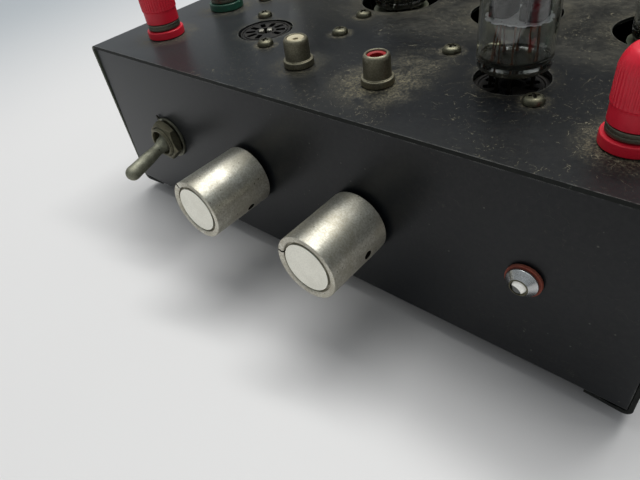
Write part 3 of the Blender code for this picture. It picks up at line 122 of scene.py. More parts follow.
def make_camera():
    """The photograph's viewpoint: in front of the right-hand side, looking down at the front left."""
    data = bpy.data.cameras.new("photo_camera")
    data.sensor_fit = "HORIZONTAL"
    data.sensor_width = SENSOR_WIDTH
    data.lens = LENS
    data.clip_start = NEAREST_SEEN
    camera = linked("photo_camera", data)
    forward = Vector(CAMERA_AIM).normalized()
    right = forward.cross(Vector(CAMERA_UP)).normalized()
    up = right.cross(forward)
    turn = Matrix((right, up, -forward)).transposed().to_4x4()
    camera.matrix_world = Matrix.Translation(CAMERA_PLACE) @ turn
    bpy.context.scene.camera = camera


def make_lamp(name, place, target, size, power, colour):
    data = bpy.data.lights.new(name, "AREA")
    data.shape = "RECTANGLE"
    data.size, data.size_y = size
    data.energy = power
    data.color = colour
    lamp = linked(name, data)
    aim = Vector(target) - Vector(place)
    lamp.matrix_world = Matrix.Translation(place) @ aim.to_track_quat("-Z", "Y").to_matrix().to_4x4()


def make_world():
    """White behind everything; gloss sees it bright overhead, dimmer low down and at the front right."""
    world = bpy.data.worlds.new("studio")
    bpy.context.scene.world = world
    world.use_nodes = True
    tree = world.node_tree
    tree.nodes.clear()
    x, _, z = parts_of(tree, add(tree, "TexCoord").outputs["Generated"])
    overhead = fade(tree, z, 0.45, 0.95, 0.0, 0.55)
    beside = times(tree, fade(tree, x, 0.0, 0.7), fade(tree, z, -0.1, 0.4, 0.0, 0.22))
    behind = plus(tree, fade(tree, x, -0.95, -0.15, 0.40, 0.17), beside)
    path = add(tree, "LightPath").outputs
    through = times(tree, path["Is Transmission Ray"], fade(tree, z, 0.25, 0.55, 1.0, 0.25))
    straight = most(tree, path["Is Camera Ray"], through)
    shown = most(tree, straight, plus(tree, overhead, behind))
    seen = most(tree, straight, most(tree, path["Is Glossy Ray"], path["Is Transmission Ray"]))
    fill = add(tree, "Background", {"Color": (0.95, 0.975, 1.0, 1), "Strength": 0.26})
    cast = mix(tree, straight, (0.91, 0.97, 1.0, 1), WHITE)
    white = add(tree, "Background", {"Color": cast, "Strength": shown})
    both = add(tree, "MixShader", {0: seen, 1: fill.outputs[0], 2: white.outputs[0]})
    end = tree.nodes.new("ShaderNodeOutputWorld")
    tree.links.new(both.outputs[0], end.inputs[0])


def make_table():
    """A wide pale table top under the feet, with a painted darker falloff towards the far left and a painted
    glow further out.
    """
    builder = bmesh.new()
    corners = ((-1, -1), (1, -1), (1, 1), (-1, 1))
    builder.faces.new([builder.verts.new((x * TABLE_HALF, y * TABLE_HALF, 0)) for x, y in corners])
    table = object_from("table", builder)
    material, tree, shader = new_material("table_laminate", {"Roughness": 0.62, "Emission Strength": 1.0})
    coords = object_coords(tree)
    cloud = noise(tree, coords, 9, 2)
    colour = mix(tree, cloud, (0.775, 0.775, 0.775, 1), (0.80, 0.80, 0.80, 1))
    along = parts_of(tree, coords)[0]
    # Painted falloff: the table turns a darker blue-grey towards the far left, standing in for the light
    # dimming there.
    far = times(tree, fade(tree, along, -0.56, -0.20, 0.80, 0.0), fade(tree, along, -1.6, -0.7))
    colour = mix(tree, far, colour, (0.40, 0.45, 0.49, 1))
    tree.links.new(colour, shader.inputs["Base Color"])
    # Painted glow: the table gives off light from 0.62 m out, to keep the far floor pale.
    painted_far_glow = fade(tree, vector_calc(tree, "LENGTH", coords), 0.62, 1.5)
    tree.links.new(mix(tree, painted_far_glow, BLACK, (0.42, 0.42, 0.42, 1)), shader.inputs["Emission Color"])
    table.data.materials.append(material)


# Writing node trees


def add(tree, kind, inputs=None, **settings):
    """A shader node with its settings, and its inputs given as values or as sockets to join."""
    node = tree.nodes.new("ShaderNode" + kind)
    for key, value in settings.items():
        setattr(node, key, value)
    for key, value in (inputs or {}).items():
        join(tree, value, node.inputs[key])
    return node


def join(tree, value, socket):
    if isinstance(value, bpy.types.NodeSocket):
        tree.links.new(value, socket)
    else:
        socket.default_value = value


def calc(tree, operation, first, second=None):
    values = {i: v for i, v in enumerate((first, second)) if v is not None}
    return add(tree, "Math", values, operation=operation).outputs[0]


def times(tree, first, second):
    return calc(tree, "MULTIPLY", first, second)


def plus(tree, first, second):
    return calc(tree, "ADD", first, second)


def most(tree, first, second):
    return calc(tree, "MAXIMUM", first, second)


def vector_calc(tree, operation, first, second=None):
    values = {i: v for i, v in enumerate((first, second)) if v is not None}
    node = add(tree, "VectorMath", values, operation=operation)
    scalar = operation in ("LENGTH", "DISTANCE", "DOT_PRODUCT")
    return node.outputs["Value" if scalar else "Vector"]


def mix(tree, factor, first, second):
    return add(tree, "Mix", {0: factor, 6: first, 7: second}, data_type="RGBA").outputs[2]


def fade(tree, value, low, high, start=0.0, end=1.0):
    """A smooth step from start to end while the value goes from low to high."""
    settings = {"Value": value, "From Min": low, "From Max": high, "To Min": start, "To Max": end}
    return add(tree, "MapRange", settings, interpolation_type="SMOOTHSTEP").outputs[0]


def noise(tree, vector, scale, detail=2.0, roughness=0.5, distortion=0.0):
    settings = {
        "Vector": vector, "Scale": scale, "Detail": detail, "Roughness": roughness, "Distortion": distortion
    }
    return add(tree, "TexNoise", settings).outputs[0]


def object_coords(tree):
    return add(tree, "TexCoord").outputs["Object"]


def parts_of(tree, vector):
    return add(tree, "SeparateXYZ", {0: vector}).outputs


def new_group(name, inputs, outputs):
    """An empty shader group, with what it is given and what it gives."""
    tree = bpy.data.node_groups.new(name, "ShaderNodeTree")
    for label, kind, value in inputs:
        socket = tree.interface.new_socket(label, in_out="INPUT", socket_type="NodeSocket" + kind)
        socket.default_value = value
    for label, kind in outputs:
        tree.interface.new_socket(label, in_out="OUTPUT", socket_type="NodeSocket" + kind)
    given = tree.nodes.new("NodeGroupInput").outputs
    result = tree.nodes.new("NodeGroupOutput").inputs
    return tree, given, result


def use(tree, effect, **inputs):
    """A shared effect placed in a material, its inputs named with _ for a space."""
    node = tree.nodes.new("ShaderNodeGroup")
    node.node_tree = EFFECTS[effect]
    for key, value in inputs.items():
        join(tree, value, node.inputs[key.replace("_", " ")])
    return node.outputs


def new_material(name, values=None):
    material = bpy.data.materials.new(name)
    material.use_nodes = True
    tree = material.node_tree
    tree.nodes.clear()
    shader = add(tree, "BsdfPrincipled", values)
    end = tree.nodes.new("ShaderNodeOutputMaterial")
    tree.links.new(shader.outputs[0], end.inputs[0])
    return material, tree, shader


# Effects that several finishes share


def dust_group():
    """Dust that settles on what faces up, in clouds with a fine grain."""
    tree, given, result = new_group(
        "settled_dust",
        [
            ("Colour", "Color", (0.1, 0.1, 0.1, 1)),
            ("Roughness", "Float", 0.4),
            ("Dust Colour", "Color", (0.20, 0.18, 0.14, 1)),
            ("Amount", "Float", 0.5),
            ("Scale", "Float", 60.0),
        ],
        [("Colour", "Color"), ("Roughness", "Float"), ("Mask", "Float")],
    )
    coords = add(tree, "TexCoord").outputs
    up = fade(tree, parts_of(tree, coords["Normal"])[2], 0.15, 0.9, 0.12, 1.0)
    clouds = fade(tree, noise(tree, coords["Object"], given["Scale"], 5, 0.6), 0.32, 0.72, 0.15, 1.0)
    fine_scale = times(tree, given["Scale"], 22.0)
    fine = fade(tree, noise(tree, coords["Object"], fine_scale, 3, 0.7), 0.35, 0.65, 0.55, 1.1)
    mask = times(tree, times(tree, up, clouds), times(tree, fine, given["Amount"]))
    mask = calc(tree, "MINIMUM", mask, 1.0)
    tree.links.new(mix(tree, mask, given["Colour"], given["Dust Colour"]), result["Colour"])
    dulled = add(tree, "Mix", {0: mask, 2: given["Roughness"], 3: 0.92}).outputs[0]
    tree.links.new(dulled, result["Roughness"])
    tree.links.new(mask, result["Mask"])
    return tree


def edge_group():
    """Where an edge is rubbed: found by how a rounded edge would lean, and broken up by noise."""
    tree, given, result = new_group(
        "edge_wear",
        [("Radius", "Float", 0.0004), ("Amount", "Float", 0.6), ("Breakup", "Float", 700.0)],
        [("Mask", "Float")],
    )
    rounded = add(tree, "Bevel", {"Radius": given["Radius"]}, samples=4).outputs[0]
    flat = add(tree, "NewGeometry").outputs["Normal"]
    lean = vector_calc(tree, "DOT_PRODUCT", rounded, flat)
    edge = fade(tree, lean, 0.985, 0.82)
    coords = object_coords(tree)
    patches = fade(tree, noise(tree, coords, given["Breakup"], 4, 0.65), 0.36, 0.62)
    mask = times(tree, times(tree, edge, patches), given["Amount"])
    tree.links.new(calc(tree, "MINIMUM", mask, 1.0), result["Mask"])
    return tree


def mottle_group():
    """Two tones of one finish, in soft patches: tarnish, stains and fading."""
    tree, given, result = new_group(
        "mottle",
        [
            ("Colour", "Color", (0.5, 0.5, 0.5, 1)),
            ("Stain Colour", "Color", (0.3, 0.3, 0.3, 1)),
            ("Scale", "Float", 120.0),
            ("Amount", "Float", 0.6),
            ("Sharpness", "Float", 0.5),
        ],
        [("Colour", "Color"), ("Mask", "Float")],
    )
    coords = object_coords(tree)
    cloud = noise(tree, coords, given["Scale"], 6, 0.62, 0.4)
    half_width = add(
        tree, "MapRange", {"Value": given["Sharpness"], "To Min": 0.25, "To Max": 0.04}
    ).outputs[0]
    low = calc(tree, "SUBTRACT", 0.5, half_width)
    high = plus(tree, 0.5, half_width)
    mask = times(tree, fade(tree, cloud, low, high), given["Amount"])
    tree.links.new(mix(tree, mask, given["Colour"], given["Stain Colour"]), result["Colour"])
    tree.links.new(mask, result["Mask"])
    return tree


def scratch_group():
    """Short straight scratches, each at its own angle, on the plane of the vector's X and Y."""
    tree, given, result = new_group(
        "scratches",
        [
            ("Vector", "Vector", (0, 0, 0)),
            ("Scale", "Float", 120.0),
            ("Length", "Float", 0.35),
            ("Width", "Float", 0.02),
            ("Density", "Float", 0.4),
        ],
        [("Mask", "Float")],
    )
    scaled = add(
        tree, "VectorMath", {0: given["Vector"], "Scale": given["Scale"]}, operation="SCALE"
    ).outputs[0]
    cells = add(tree, "TexVoronoi", {"Vector": scaled, "Scale": 1.0}, voronoi_dimensions="2D").outputs
    wander = add(tree, "TexNoise", {"Vector": scaled, "Scale": 1.7, "Detail": 3.0}).outputs["Color"]
    wander = add(tree, "VectorMath", {0: wander, "Scale": 0.8}, operation="SCALE").outputs[0]
    away = vector_calc(tree, "ADD", vector_calc(tree, "SUBTRACT", scaled, cells["Position"]), wander)
    away = vector_calc(tree, "SUBTRACT", away, (0.4, 0.4, 0.4))
    chance, turn, size = parts_of(tree, cells["Color"])
    angle = times(tree, turn, FULL_TURN)
    turned = add(tree, "VectorRotate", {"Vector": away, "Angle": angle}, rotation_type="Z_AXIS").outputs[0]
    bow = times(tree, calc(tree, "POWER", parts_of(tree, turned)[0], 2.0), 0.35)
    across = calc(tree, "ABSOLUTE", calc(tree, "SUBTRACT", parts_of(tree, turned)[1], bow))
    reach = calc(tree, "ABSOLUTE", parts_of(tree, turned)[0])
    long = times(tree, given["Length"], plus(tree, size, 0.3))
    line = fade(tree, across, times(tree, given["Width"], 0.3), given["Width"], 1.0, 0.0)
    ends = fade(tree, reach, times(tree, long, 0.6), long, 1.0, 0.0)
    there = calc(tree, "LESS_THAN", chance, given["Density"])
    broken = fade(tree, noise(tree, scaled, 9.0, 3, 0.7), 0.35, 0.6)
    mask = times(tree, times(tree, line, ends), times(tree, there, broken))
    tree.links.new(mask, result["Mask"])
    return tree


def speck_group():
    """Scattered round specks or pits, of many sizes."""
    tree, given, result = new_group(
        "specks",
        [("Scale", "Float", 500.0), ("Size", "Float", 0.2), ("Density", "Float", 0.3)],
        [("Mask", "Float")],
    )
    coords = object_coords(tree)
    cells = add(tree, "TexVoronoi", {"Vector": coords, "Scale": given["Scale"]}).outputs
    chance, size, _ = parts_of(tree, cells["Color"])
    radius = times(tree, given["Size"], plus(tree, calc(tree, "POWER", size, 3.0), 0.25))
    dot = fade(tree, cells["Distance"], times(tree, radius, 0.5), radius, 1.0, 0.0)
    there = calc(tree, "LESS_THAN", chance, given["Density"])
    tree.links.new(times(tree, dot, there), result["Mask"])
    return tree


def fleck_group():
    """Ragged small chips and crumbs that lie in clusters."""
    tree, given, result = new_group(
        "ragged_flecks",
        [("Scale", "Float", 700.0), ("Cluster Scale", "Float", 60.0), ("Share", "Float", 0.4)],
        [("Mask", "Float")],
    )
    coords = object_coords(tree)
    crumbs = noise(tree, coords, given["Scale"], 5, 0.7, 1.4)
    flecks = fade(tree, crumbs, 0.60, 0.66)
    low = calc(tree, "SUBTRACT", 0.66, times(tree, given["Share"], 0.4))
    clusters = fade(tree, noise(tree, coords, given["Cluster Scale"], 3, 0.6), low, plus(tree, low, 0.12))
    tree.links.new(times(tree, flecks, clusters), result["Mask"])
    return tree


def lathe_group():
    """Fine rings left by turning, along the profile that a round piece was turned to."""
    tree, given, result = new_group(
        "turning_marks",
        [("Lines", "Float", 9000.0), ("Break", "Float", 0.35)],
        [("Height", "Float")],
    )
    along = add(tree, "Attribute", attribute_name="along").outputs["Fac"]
    line = add(
        tree, "TexNoise", {"W": along, "Scale": given["Lines"], "Detail": 3.0}, noise_dimensions="1D"
    ).outputs[0]
    coords = object_coords(tree)
    cloud = noise(tree, coords, 900.0, 3, 0.6)
    tree.links.new(add(tree, "Mix", {0: given["Break"], 2: line, 3: cloud}).outputs[0], result["Height"])
    return tree


def grain_group():
    """The small unevenness of a sprayed, cast or moulded surface, in two sizes."""
    tree, given, result = new_group(
        "fine_grain", [("Scale", "Float", 1800.0), ("Coarse", "Float", 0.4)], [("Height", "Float")]
    )
    coords = object_coords(tree)
    fine = noise(tree, coords, given["Scale"], 3, 0.6)
    coarse = noise(tree, coords, times(tree, given["Scale"], 0.16), 2, 0.5)
    tree.links.new(add(tree, "Mix", {0: given["Coarse"], 2: fine, 3: coarse}).outputs[0], result["Height"])
    return tree


def bump(tree, shader, height, strength, distance):
    node = add(tree, "Bump", {"Height": height, "Strength": strength, "Distance": distance})
    tree.links.new(node.outputs[0], shader.inputs["Normal"])


def mottled(tree, colour, stain, scale, amount, sharpness):
    return use(
        tree, "mottle", Colour=colour, Stain_Colour=stain, Scale=scale, Amount=amount, Sharpness=sharpness
    )


def rubbed(tree, colour, bare, radius, amount, breakup):
    """The colour, with a barer one along worn edges."""
    edges = use(tree, "edge", Radius=radius, Amount=amount, Breakup=breakup)
    return mix(tree, edges["Mask"], colour, bare)


def grained(tree, shader, scale, coarse, strength, distance):
    """Bumps from the fine grain effect."""
    grain = use(tree, "grain", Scale=scale, Coarse=coarse)
    bump(tree, shader, grain["Height"], strength, distance)


def tint(colour, share, lift=0.0):
    """A lighter or darker tone of a colour."""
    return tuple(min(1.0, v * share + lift) for v in colour[:3]) + (1,)


def finish_colour(tree, shader, colour, roughness):
    tree.links.new(colour, shader.inputs["Base Color"])
    join(tree, roughness, shader.inputs["Roughness"])


# Finishes


def charcoal_paint(name, halos, plane_turn, film):
    """Satin bluish charcoal paint with a dust film, scuffs and rubbed edges; a painted sheen lightens it
    towards the left, and the rubbed edges carry a painted highlight too.
    """
    material, tree, shader = new_material(name, {"Specular IOR Level": 0.27})
    coords = add(tree, "TexCoord").outputs
    base = mottled(tree, (0.0048, 0.0062, 0.0082, 1), (0.0032, 0.0041, 0.0053, 1), 38.0, 0.8, 0.2)
    fine = mottled(tree, base["Colour"], (0.0115, 0.0125, 0.0135, 1), 700.0, 0.45, 0.5)
    place_x, place_y, _ = parts_of(tree, coords["Object"])
    # Painted sheen: the paint turns a lighter grey towards the left end, standing in for the gloss reflection
    # there.
    painted_sheen = mix(
        tree, fade(tree, place_x, -0.112, -0.015, 0.8, 0.0), fine["Colour"], (0.044, 0.047, 0.050, 1)
    )
    used = plus(
        tree, fade(tree, place_x, -0.09, 0.05, 0.10, 0.70), fade(tree, place_y, -0.08, 0.0, 0.0, 0.30)
    )
    up = fade(tree, parts_of(tree, coords["Normal"])[2], 0.5, 0.95, 0.10, 1.0)
    flat = add(tree, "Mapping", {"Vector": coords["Object"], "Rotation": plane_turn}).outputs[0]
    marks = use(tree, "flecks", Scale=620.0, Cluster_Scale=80.0, Share=0.50)["Mask"]
    for scale, length, width, density in (
        (90.0, 0.42, 0.010, 0.40), (230.0, 0.38, 0.020, 0.50), (420.0, 0.34, 0.034, 0.50)
    ):
        line = use(tree, "scratches", Vector=flat, Scale=scale, Length=length, Width=width, Density=density)
        marks = most(tree, marks, line["Mask"])
    crowd = fade(tree, noise(tree, coords["Object"], 42.0, 3, 0.6), 0.40, 0.58, 0.12, 1.0)
    marks = times(tree, times(tree, marks, crowd), times(tree, used, up))
    colour = mix(tree, times(tree, marks, 0.85), painted_sheen, (0.33, 0.305, 0.21, 1))
    specks = use(tree, "specks", Scale=330.0, Size=0.15, Density=0.20)
    speck = times(tree, specks["Mask"], times(tree, used, 0.5))
    colour = mix(tree, speck, colour, (0.17, 0.17, 0.145, 1))
    # Rubbed edges, lightened also as a painted highlight along the sheet's edges.
    colour = rubbed(tree, colour, (0.15, 0.155, 0.145, 1), 0.0008, 0.9, 260.0)
    behind = times(
        tree, fade(tree, place_y, -0.034, -0.008, 0.06, 1.0), fade(tree, place_x, -0.05, 0.03, 0.3, 1.0)
    )
    amount = times(tree, behind, film)
    brown = (0.110, 0.104, 0.078, 1)
    dusty = use(tree, "dust", Colour=colour, Roughness=0.34, Dust_Colour=brown, Amount=amount, Scale=24.0)
    colour, roughness = dusty["Colour"], dusty["Roughness"]
    if halos:
        ring = None
        level = add(
            tree, "VectorMath", {0: coords["Object"], 1: (1, 1, 0)}, operation="MULTIPLY"
        ).outputs[0]
        for x, y, inner, reach, strength in halos:
            gone = vector_calc(tree, "DISTANCE", level, (x, y, 0))
            one = fade(tree, gone, inner, reach, strength, 0.0)
            ring = one if ring is None else most(tree, ring, one)
        grain = fade(tree, noise(tree, coords["Object"], 1600.0, 4, 0.7), 0.42, 0.62)
        clumps = fade(tree, noise(tree, coords["Object"], 170.0, 4, 0.6), 0.26, 0.60)
        powder = most(tree, times(tree, grain, clumps), times(tree, clumps, 0.13))
        halo = times(tree, times(tree, ring, up), powder)
        colour = mix(tree, halo, colour, (0.190, 0.172, 0.112, 1))
        roughness = add(tree, "Mix", {0: halo, 2: roughness, 3: 0.95}).outputs[0]
    finish_colour(tree, shader, colour, roughness)
    grained(tree, shader, 2300.0, 0.35, 0.14, 0.00012)
    return material


def bare_edge(name):
    """The sheet's cut edge, nearly black with a greenish oil film and a few rubbed spots; a lighter olive at
    the left wall is painted light on a strip in shade.
    """
    material, tree, shader = new_material(name, {"Specular IOR Level": 0.2})
    tone = mottled(tree, (0.0040, 0.0052, 0.0042, 1), (0.0080, 0.0100, 0.0080, 1), 300.0, 0.7, 0.3)
    place_x = parts_of(tree, object_coords(tree))[0]
    # Painted light: a lighter olive on the left wall's cut edge and inner face, which sit in shade.
    painted_light_strip = fade(tree, place_x, 0.0015 - HALF_WIDTH, 0.0030 - HALF_WIDTH, 1.0, 0.0)
    base = mix(tree, painted_light_strip, tone["Colour"], (0.085, 0.095, 0.070, 1))
    rubbed = use(tree, "flecks", Scale=600.0, Cluster_Scale=120.0, Share=0.45)
    finish_colour(tree, shader, mix(tree, rubbed["Mask"], base, (0.05, 0.055, 0.048, 1)), 0.6)
    grained(tree, shader, 2600.0, 0.4, 0.2, 0.0001)
    return material


def turned_metal(
    name, bright, dull, roughness, lines=9000.0, stain=0.5, stain_scale=140.0, mark=0.12, dust=0.15,
    pits=0.0, grain=0.3, spread=0.0
):
    """A turned or plated metal: two tones of tarnish, turning marks, pits, bright edges and a little dust."""
    material, tree, shader = new_material(name, {"Metallic": 1.0})
    tone = mottled(tree, bright, dull, stain_scale, stain, 0.35)
    fine = mottled(tree, tone["Colour"], dull, stain_scale * 15, 0.6, 0.8)
    colour = fine["Colour"]
    if spread:
        shader.inputs["Anisotropic"].default_value = spread
        shader.inputs["Anisotropic Rotation"].default_value = 0.25
        around = add(tree, "Tangent", direction_type="RADIAL", axis="Y")
        tree.links.new(around.outputs[0], shader.inputs["Tangent"])
    if pits:
        holes = use(tree, "specks", Scale=900.0, Size=0.30, Density=pits)
        colour = mix(tree, times(tree, holes["Mask"], 0.8), colour, tint(dull, 0.25))
    colour = rubbed(tree, colour, tint(bright, 1.25), 0.0003, 0.7, 1500.0)
    rough = add(
        tree, "MapRange", {"Value": tone["Mask"], "To Min": roughness, "To Max": roughness + 0.18}
    ).outputs[0]
    dusty = use(
        tree, "dust", Colour=colour, Roughness=rough, Dust_Colour=(0.24, 0.21, 0.15, 1), Amount=dust,
        Scale=160.0
    )
    finish_colour(tree, shader, dusty["Colour"], dusty["Roughness"])
    metal = calc(tree, "SUBTRACT", 1.0, times(tree, dusty["Mask"], 0.8))
    tree.links.new(metal, shader.inputs["Metallic"])
    turning = use(tree, "lathe", Lines=lines, Break=0.35)
    casting = use(tree, "grain", Scale=2600.0, Coarse=0.35)
    height = add(tree, "Mix", {0: grain, 2: turning["Height"], 3: casting["Height"]}).outputs[0]
    bump(tree, shader, height, mark, 0.0001)
    return material


def moulded_plastic(name, bright, worn, roughness, coat=0.0, dust=0.2, stain=0.35, grain=0.08, gloss=0.5):
    """Moulded plastic: slight colour drift, handling scratches, paler edges, fine grain and dust."""
    material, tree, shader = new_material(
        name, {"Coat Weight": coat, "Coat Roughness": 0.18, "Specular IOR Level": gloss}
    )
    tone = mottled(tree, bright, worn, 260.0, stain, 0.15)
    coords = object_coords(tree)
    standing = add(tree, "Mapping", {"Vector": coords, "Rotation": (QUARTER_TURN, 0, 0)}).outputs[0]
    scuffs = use(tree, "scratches", Vector=standing, Scale=420.0, Length=0.30, Width=0.025, Density=0.30)
    pale = tint(bright, 1.3, 0.03)
    colour = mix(tree, times(tree, scuffs["Mask"], 0.35), tone["Colour"], pale)
    colour = rubbed(tree, colour, pale, 0.0003, 0.22, 900.0)
    rough = add(
        tree, "MapRange", {"Value": tone["Mask"], "To Min": roughness, "To Max": roughness + 0.12}
    ).outputs[0]
    dusty = use(
        tree, "dust", Colour=colour, Roughness=rough, Dust_Colour=(0.27, 0.23, 0.17, 1), Amount=dust,
        Scale=170.0
    )
    finish_colour(tree, shader, dusty["Colour"], dusty["Roughness"])
    grained(tree, shader, 3200.0, 0.45, grain, 0.00008)
    return material


def clear_glass(name, tint, roughness):
    """Glass with finger smears and a little dust, which show in its gloss."""
    material, tree, shader = new_material(
        name, {"Base Color": tint, "Transmission Weight": 1.0, "IOR": 1.5, "Metallic": 0.0}
    )
    smears = mottled(tree, BLACK, WHITE, 90.0, 1.0, 0.3)
    rough = add(
        tree, "MapRange", {"Value": smears["Mask"], "To Min": roughness, "To Max": roughness + 0.03}
    ).outputs[0]
    tree.links.new(rough, shader.inputs["Roughness"])
    grained(tree, shader, 260.0, 0.6, 0.05, 0.0002)
    return material


def pressed_glass():
    """The thick olive-tinted glass of a tube's pressed foot, dusty outside, made dark and only partly clear
    as painted shade for the darkness seen through it.
    """
    material, tree, shader = new_material(
        "pressed_foot_glass", {"Transmission Weight": 0.35, "IOR": 1.5, "Metallic": 0.0}
    )
    # Dark, half-clear tone: partly the thick glass's olive tint, partly painted shade for the darkness seen
    # through it.
    tone = mottled(tree, (0.075, 0.075, 0.055, 1), (0.030, 0.029, 0.020, 1), 260.0, 0.9, 0.2)
    finish_colour(tree, shader, tone["Colour"], 0.16)
    grained(tree, shader, 500.0, 0.5, 0.05, 0.0002)
    return material


def getter_mirror():
    """The dark mirror inside the top of a tube, which thins out to nothing at its lower edge."""
    material, tree, shader = new_material(
        "getter_mirror", {"Metallic": 1.0, "Base Color": (0.32, 0.30, 0.29, 1)}
    )
    fading = add(tree, "Attribute", attribute_name="along").outputs["Fac"]
    coords = object_coords(tree)
    ragged = plus(tree, fading, times(tree, noise(tree, coords, 260.0, 4), 0.004))
    tree.links.new(fade(tree, ragged, 0.0110, 0.0165, 1.0, 0.0), shader.inputs["Alpha"])
    tone = fade(tree, ragged, 0.007, 0.015, 0.10, 0.42)
    tree.links.new(tone, shader.inputs["Roughness"])
    hue = mix(tree, fade(tree, ragged, 0.008, 0.015), (0.42, 0.42, 0.43, 1), (0.16, 0.10, 0.06, 1))
    tree.links.new(hue, shader.inputs["Base Color"])
    return material


def mica_sheet():
    material, tree, shader = new_material(
        "mica_sheet", {"Transmission Weight": 0.25, "Specular IOR Level": 0.7}
    )
    flakes = mottled(tree, (0.62, 0.62, 0.66, 1), (0.80, 0.80, 0.84, 1), 420.0, 0.9, 0.7)
    finish_colour(tree, shader, flakes["Colour"], 0.28)
    grained(tree, shader, 900.0, 0.5, 0.25, 0.0001)
    return material


def solder_mask():
    """The circuit board: green mask over copper tracks, with a flux haze."""
    material, tree, shader = new_material("solder_mask", {"Coat Weight": 0.3, "Coat Roughness": 0.2})
    coords = object_coords(tree)
    lanes = add(
        tree, "TexVoronoi", {"Vector": coords, "Scale": 130.0}, distance="CHEBYCHEV", feature="F1"
    ).outputs["Distance"]
    track = fade(tree, lanes, 0.40, 0.46, 0.0, 1.0)
    tone = mottled(tree, (0.016, 0.034, 0.014, 1), (0.030, 0.050, 0.022, 1), 80.0, 0.7, 0.3)
    colour = mix(tree, times(tree, track, 0.5), tone["Colour"], (0.010, 0.024, 0.010, 1))
    colour = rubbed(tree, colour, (0.25, 0.24, 0.15, 1), 0.0004, 0.4, 600.0)
    dusty = use(
        tree, "dust", Colour=colour, Roughness=0.4, Dust_Colour=(0.20, 0.17, 0.12, 1), Amount=0.6,
        Scale=70.0
    )
    finish_colour(tree, shader, dusty["Colour"], dusty["Roughness"])
    bump(tree, shader, track, 0.3, 0.0001)
    return material


EFFECTS = {
    "dust": dust_group(),
    "edge": edge_group(),
    "mottle": mottle_group(),
    "scratches": scratch_group(),
    "specks": speck_group(),
    "flecks": fleck_group(),
    "lathe": lathe_group(),
    "grain": grain_group(),
}


# Making meshes


def object_from(name, builder):
    mesh = bpy.data.meshes.new(name)
    builder.to_mesh(mesh)
    builder.free()
    return linked(name, mesh)


def evaluated(found):
    """The object's modifiers made into plain mesh."""
    bpy.context.view_layer.update()
    graph = bpy.context.evaluated_depsgraph_get()
    mesh = bpy.data.meshes.new_from_object(found.evaluated_get(graph))
    found.modifiers.clear()
    found.data = mesh
    return found


def smoothed(found, bevel=0.0, angle=SMOOTH_ANGLE):
    """Shades a piece smooth between its edges, which get a small bevel if it has a width."""
    if bevel:
        edge = found.modifiers.new("edges", "BEVEL")
        edge.width = bevel
        edge.segments = 2
        edge.limit_method = "ANGLE"
        edge.angle_limit = angle
        evaluated(found)
    found.data.shade_smooth()
    found.data.set_sharp_from_angle(angle=angle)
    weigh = found.modifiers.new("weigh", "WEIGHTED_NORMAL")
    weigh.keep_sharp = True
    return evaluated(found)


def placed(found, place, turn=(0, 0, 0)):
    """Moves the mesh, and not the object, to its place."""
    turned = Matrix.Translation(place)
    for angle, axis in zip(turn, "XYZ"):
        turned = turned @ Matrix.Rotation(angle, 4, axis)
    found.data.transform(turned)
    return found


def painted(found, material):
    found.data.materials.clear()
    found.data.materials.append(material)
    return found


def second_finish(found, material, chosen):
    """Gives the faces that are chosen a second finish."""
    found.data.materials.append(material)
    slot = len(found.data.materials) - 1
    for face in found.data.polygons:
        if chosen(face):
            face.material_index = slot
    return found


def joined(name, parts):
    """Several finished meshes as one piece, which keeps each one's finish."""
    first = parts[0]
    with bpy.context.temp_override(active_object=first, object=first, selected_editable_objects=parts):
        bpy.ops.object.join()
    first.name = name
    first.data.name = name
    return first


def done(found, body, nodes=()):
    """Hands a piece over: what it moves with and the nodes it hides."""
    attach(found, body)
    if nodes:
        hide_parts(*nodes)
    return found


def rounded(points, closed):
    """Profile points (radius, height, rounding), with each rounding drawn as a short curve."""
    outline = []
    count = len(points)
    for i, (radius, height, *rest) in enumerate(points):
        corner = Vector((radius, height))
        rounding = rest[0] if rest else 0
        if not rounding or (not closed and i in (0, count - 1)):
            outline.append(corner)
            continue
        before = Vector(points[i - 1][:2]) - corner
        after = Vector(points[(i + 1) % count][:2]) - corner
        start = corner + before.normalized() * min(rounding, before.length / 2)
        end = corner + after.normalized() * min(rounding, after.length / 2)
        for step in range(ROUNDING_STEPS + 1):
            t = step / ROUNDING_STEPS
            outline.append(start * (1 - t) ** 2 + corner * 2 * t * (1 - t) + end * t**2)
    return outline


def lofted(name, rings, closed, distances=None):
    """Faces between rings of points, which meet in one vertex where a ring has no width."""
    builder = bmesh.new()
    along = builder.verts.layers.float.new("along")
    made = []
    for i, ring in enumerate(rings):
        if max((point - ring[0]).length for point in ring) < 1e-8:
            verts = [builder.verts.new(ring[0])] * len(ring)
        else:
            verts = [builder.verts.new(point) for point in ring]
        for vert in verts:
            vert[along] = distances[i] if distances else 0.0
        made.append(verts)
    pairs = list(zip(made, made[1:]))
    if closed:
        pairs.append((made[-1], made[0]))
    for ring, following in pairs:
        for j in range(len(ring)):
            k = (j + 1) % len(ring)
            corners = list(dict.fromkeys((ring[j], following[j], following[k], ring[k])))
            if len(corners) > 2:
                builder.faces.new(corners)
    if builder.calc_volume(signed=True) < 0:
        bmesh.ops.reverse_faces(builder, faces=builder.faces)
    return object_from(name, builder)


def arc(x, reach_x, z, reach_z, steps=8):
    """A quarter of an oval, from its top outwards and down."""
    angles = [i / steps * QUARTER_TURN for i in range(steps + 1)]
    return [(x + reach_x * math.sin(a), z + reach_z * math.cos(a)) for a in angles]


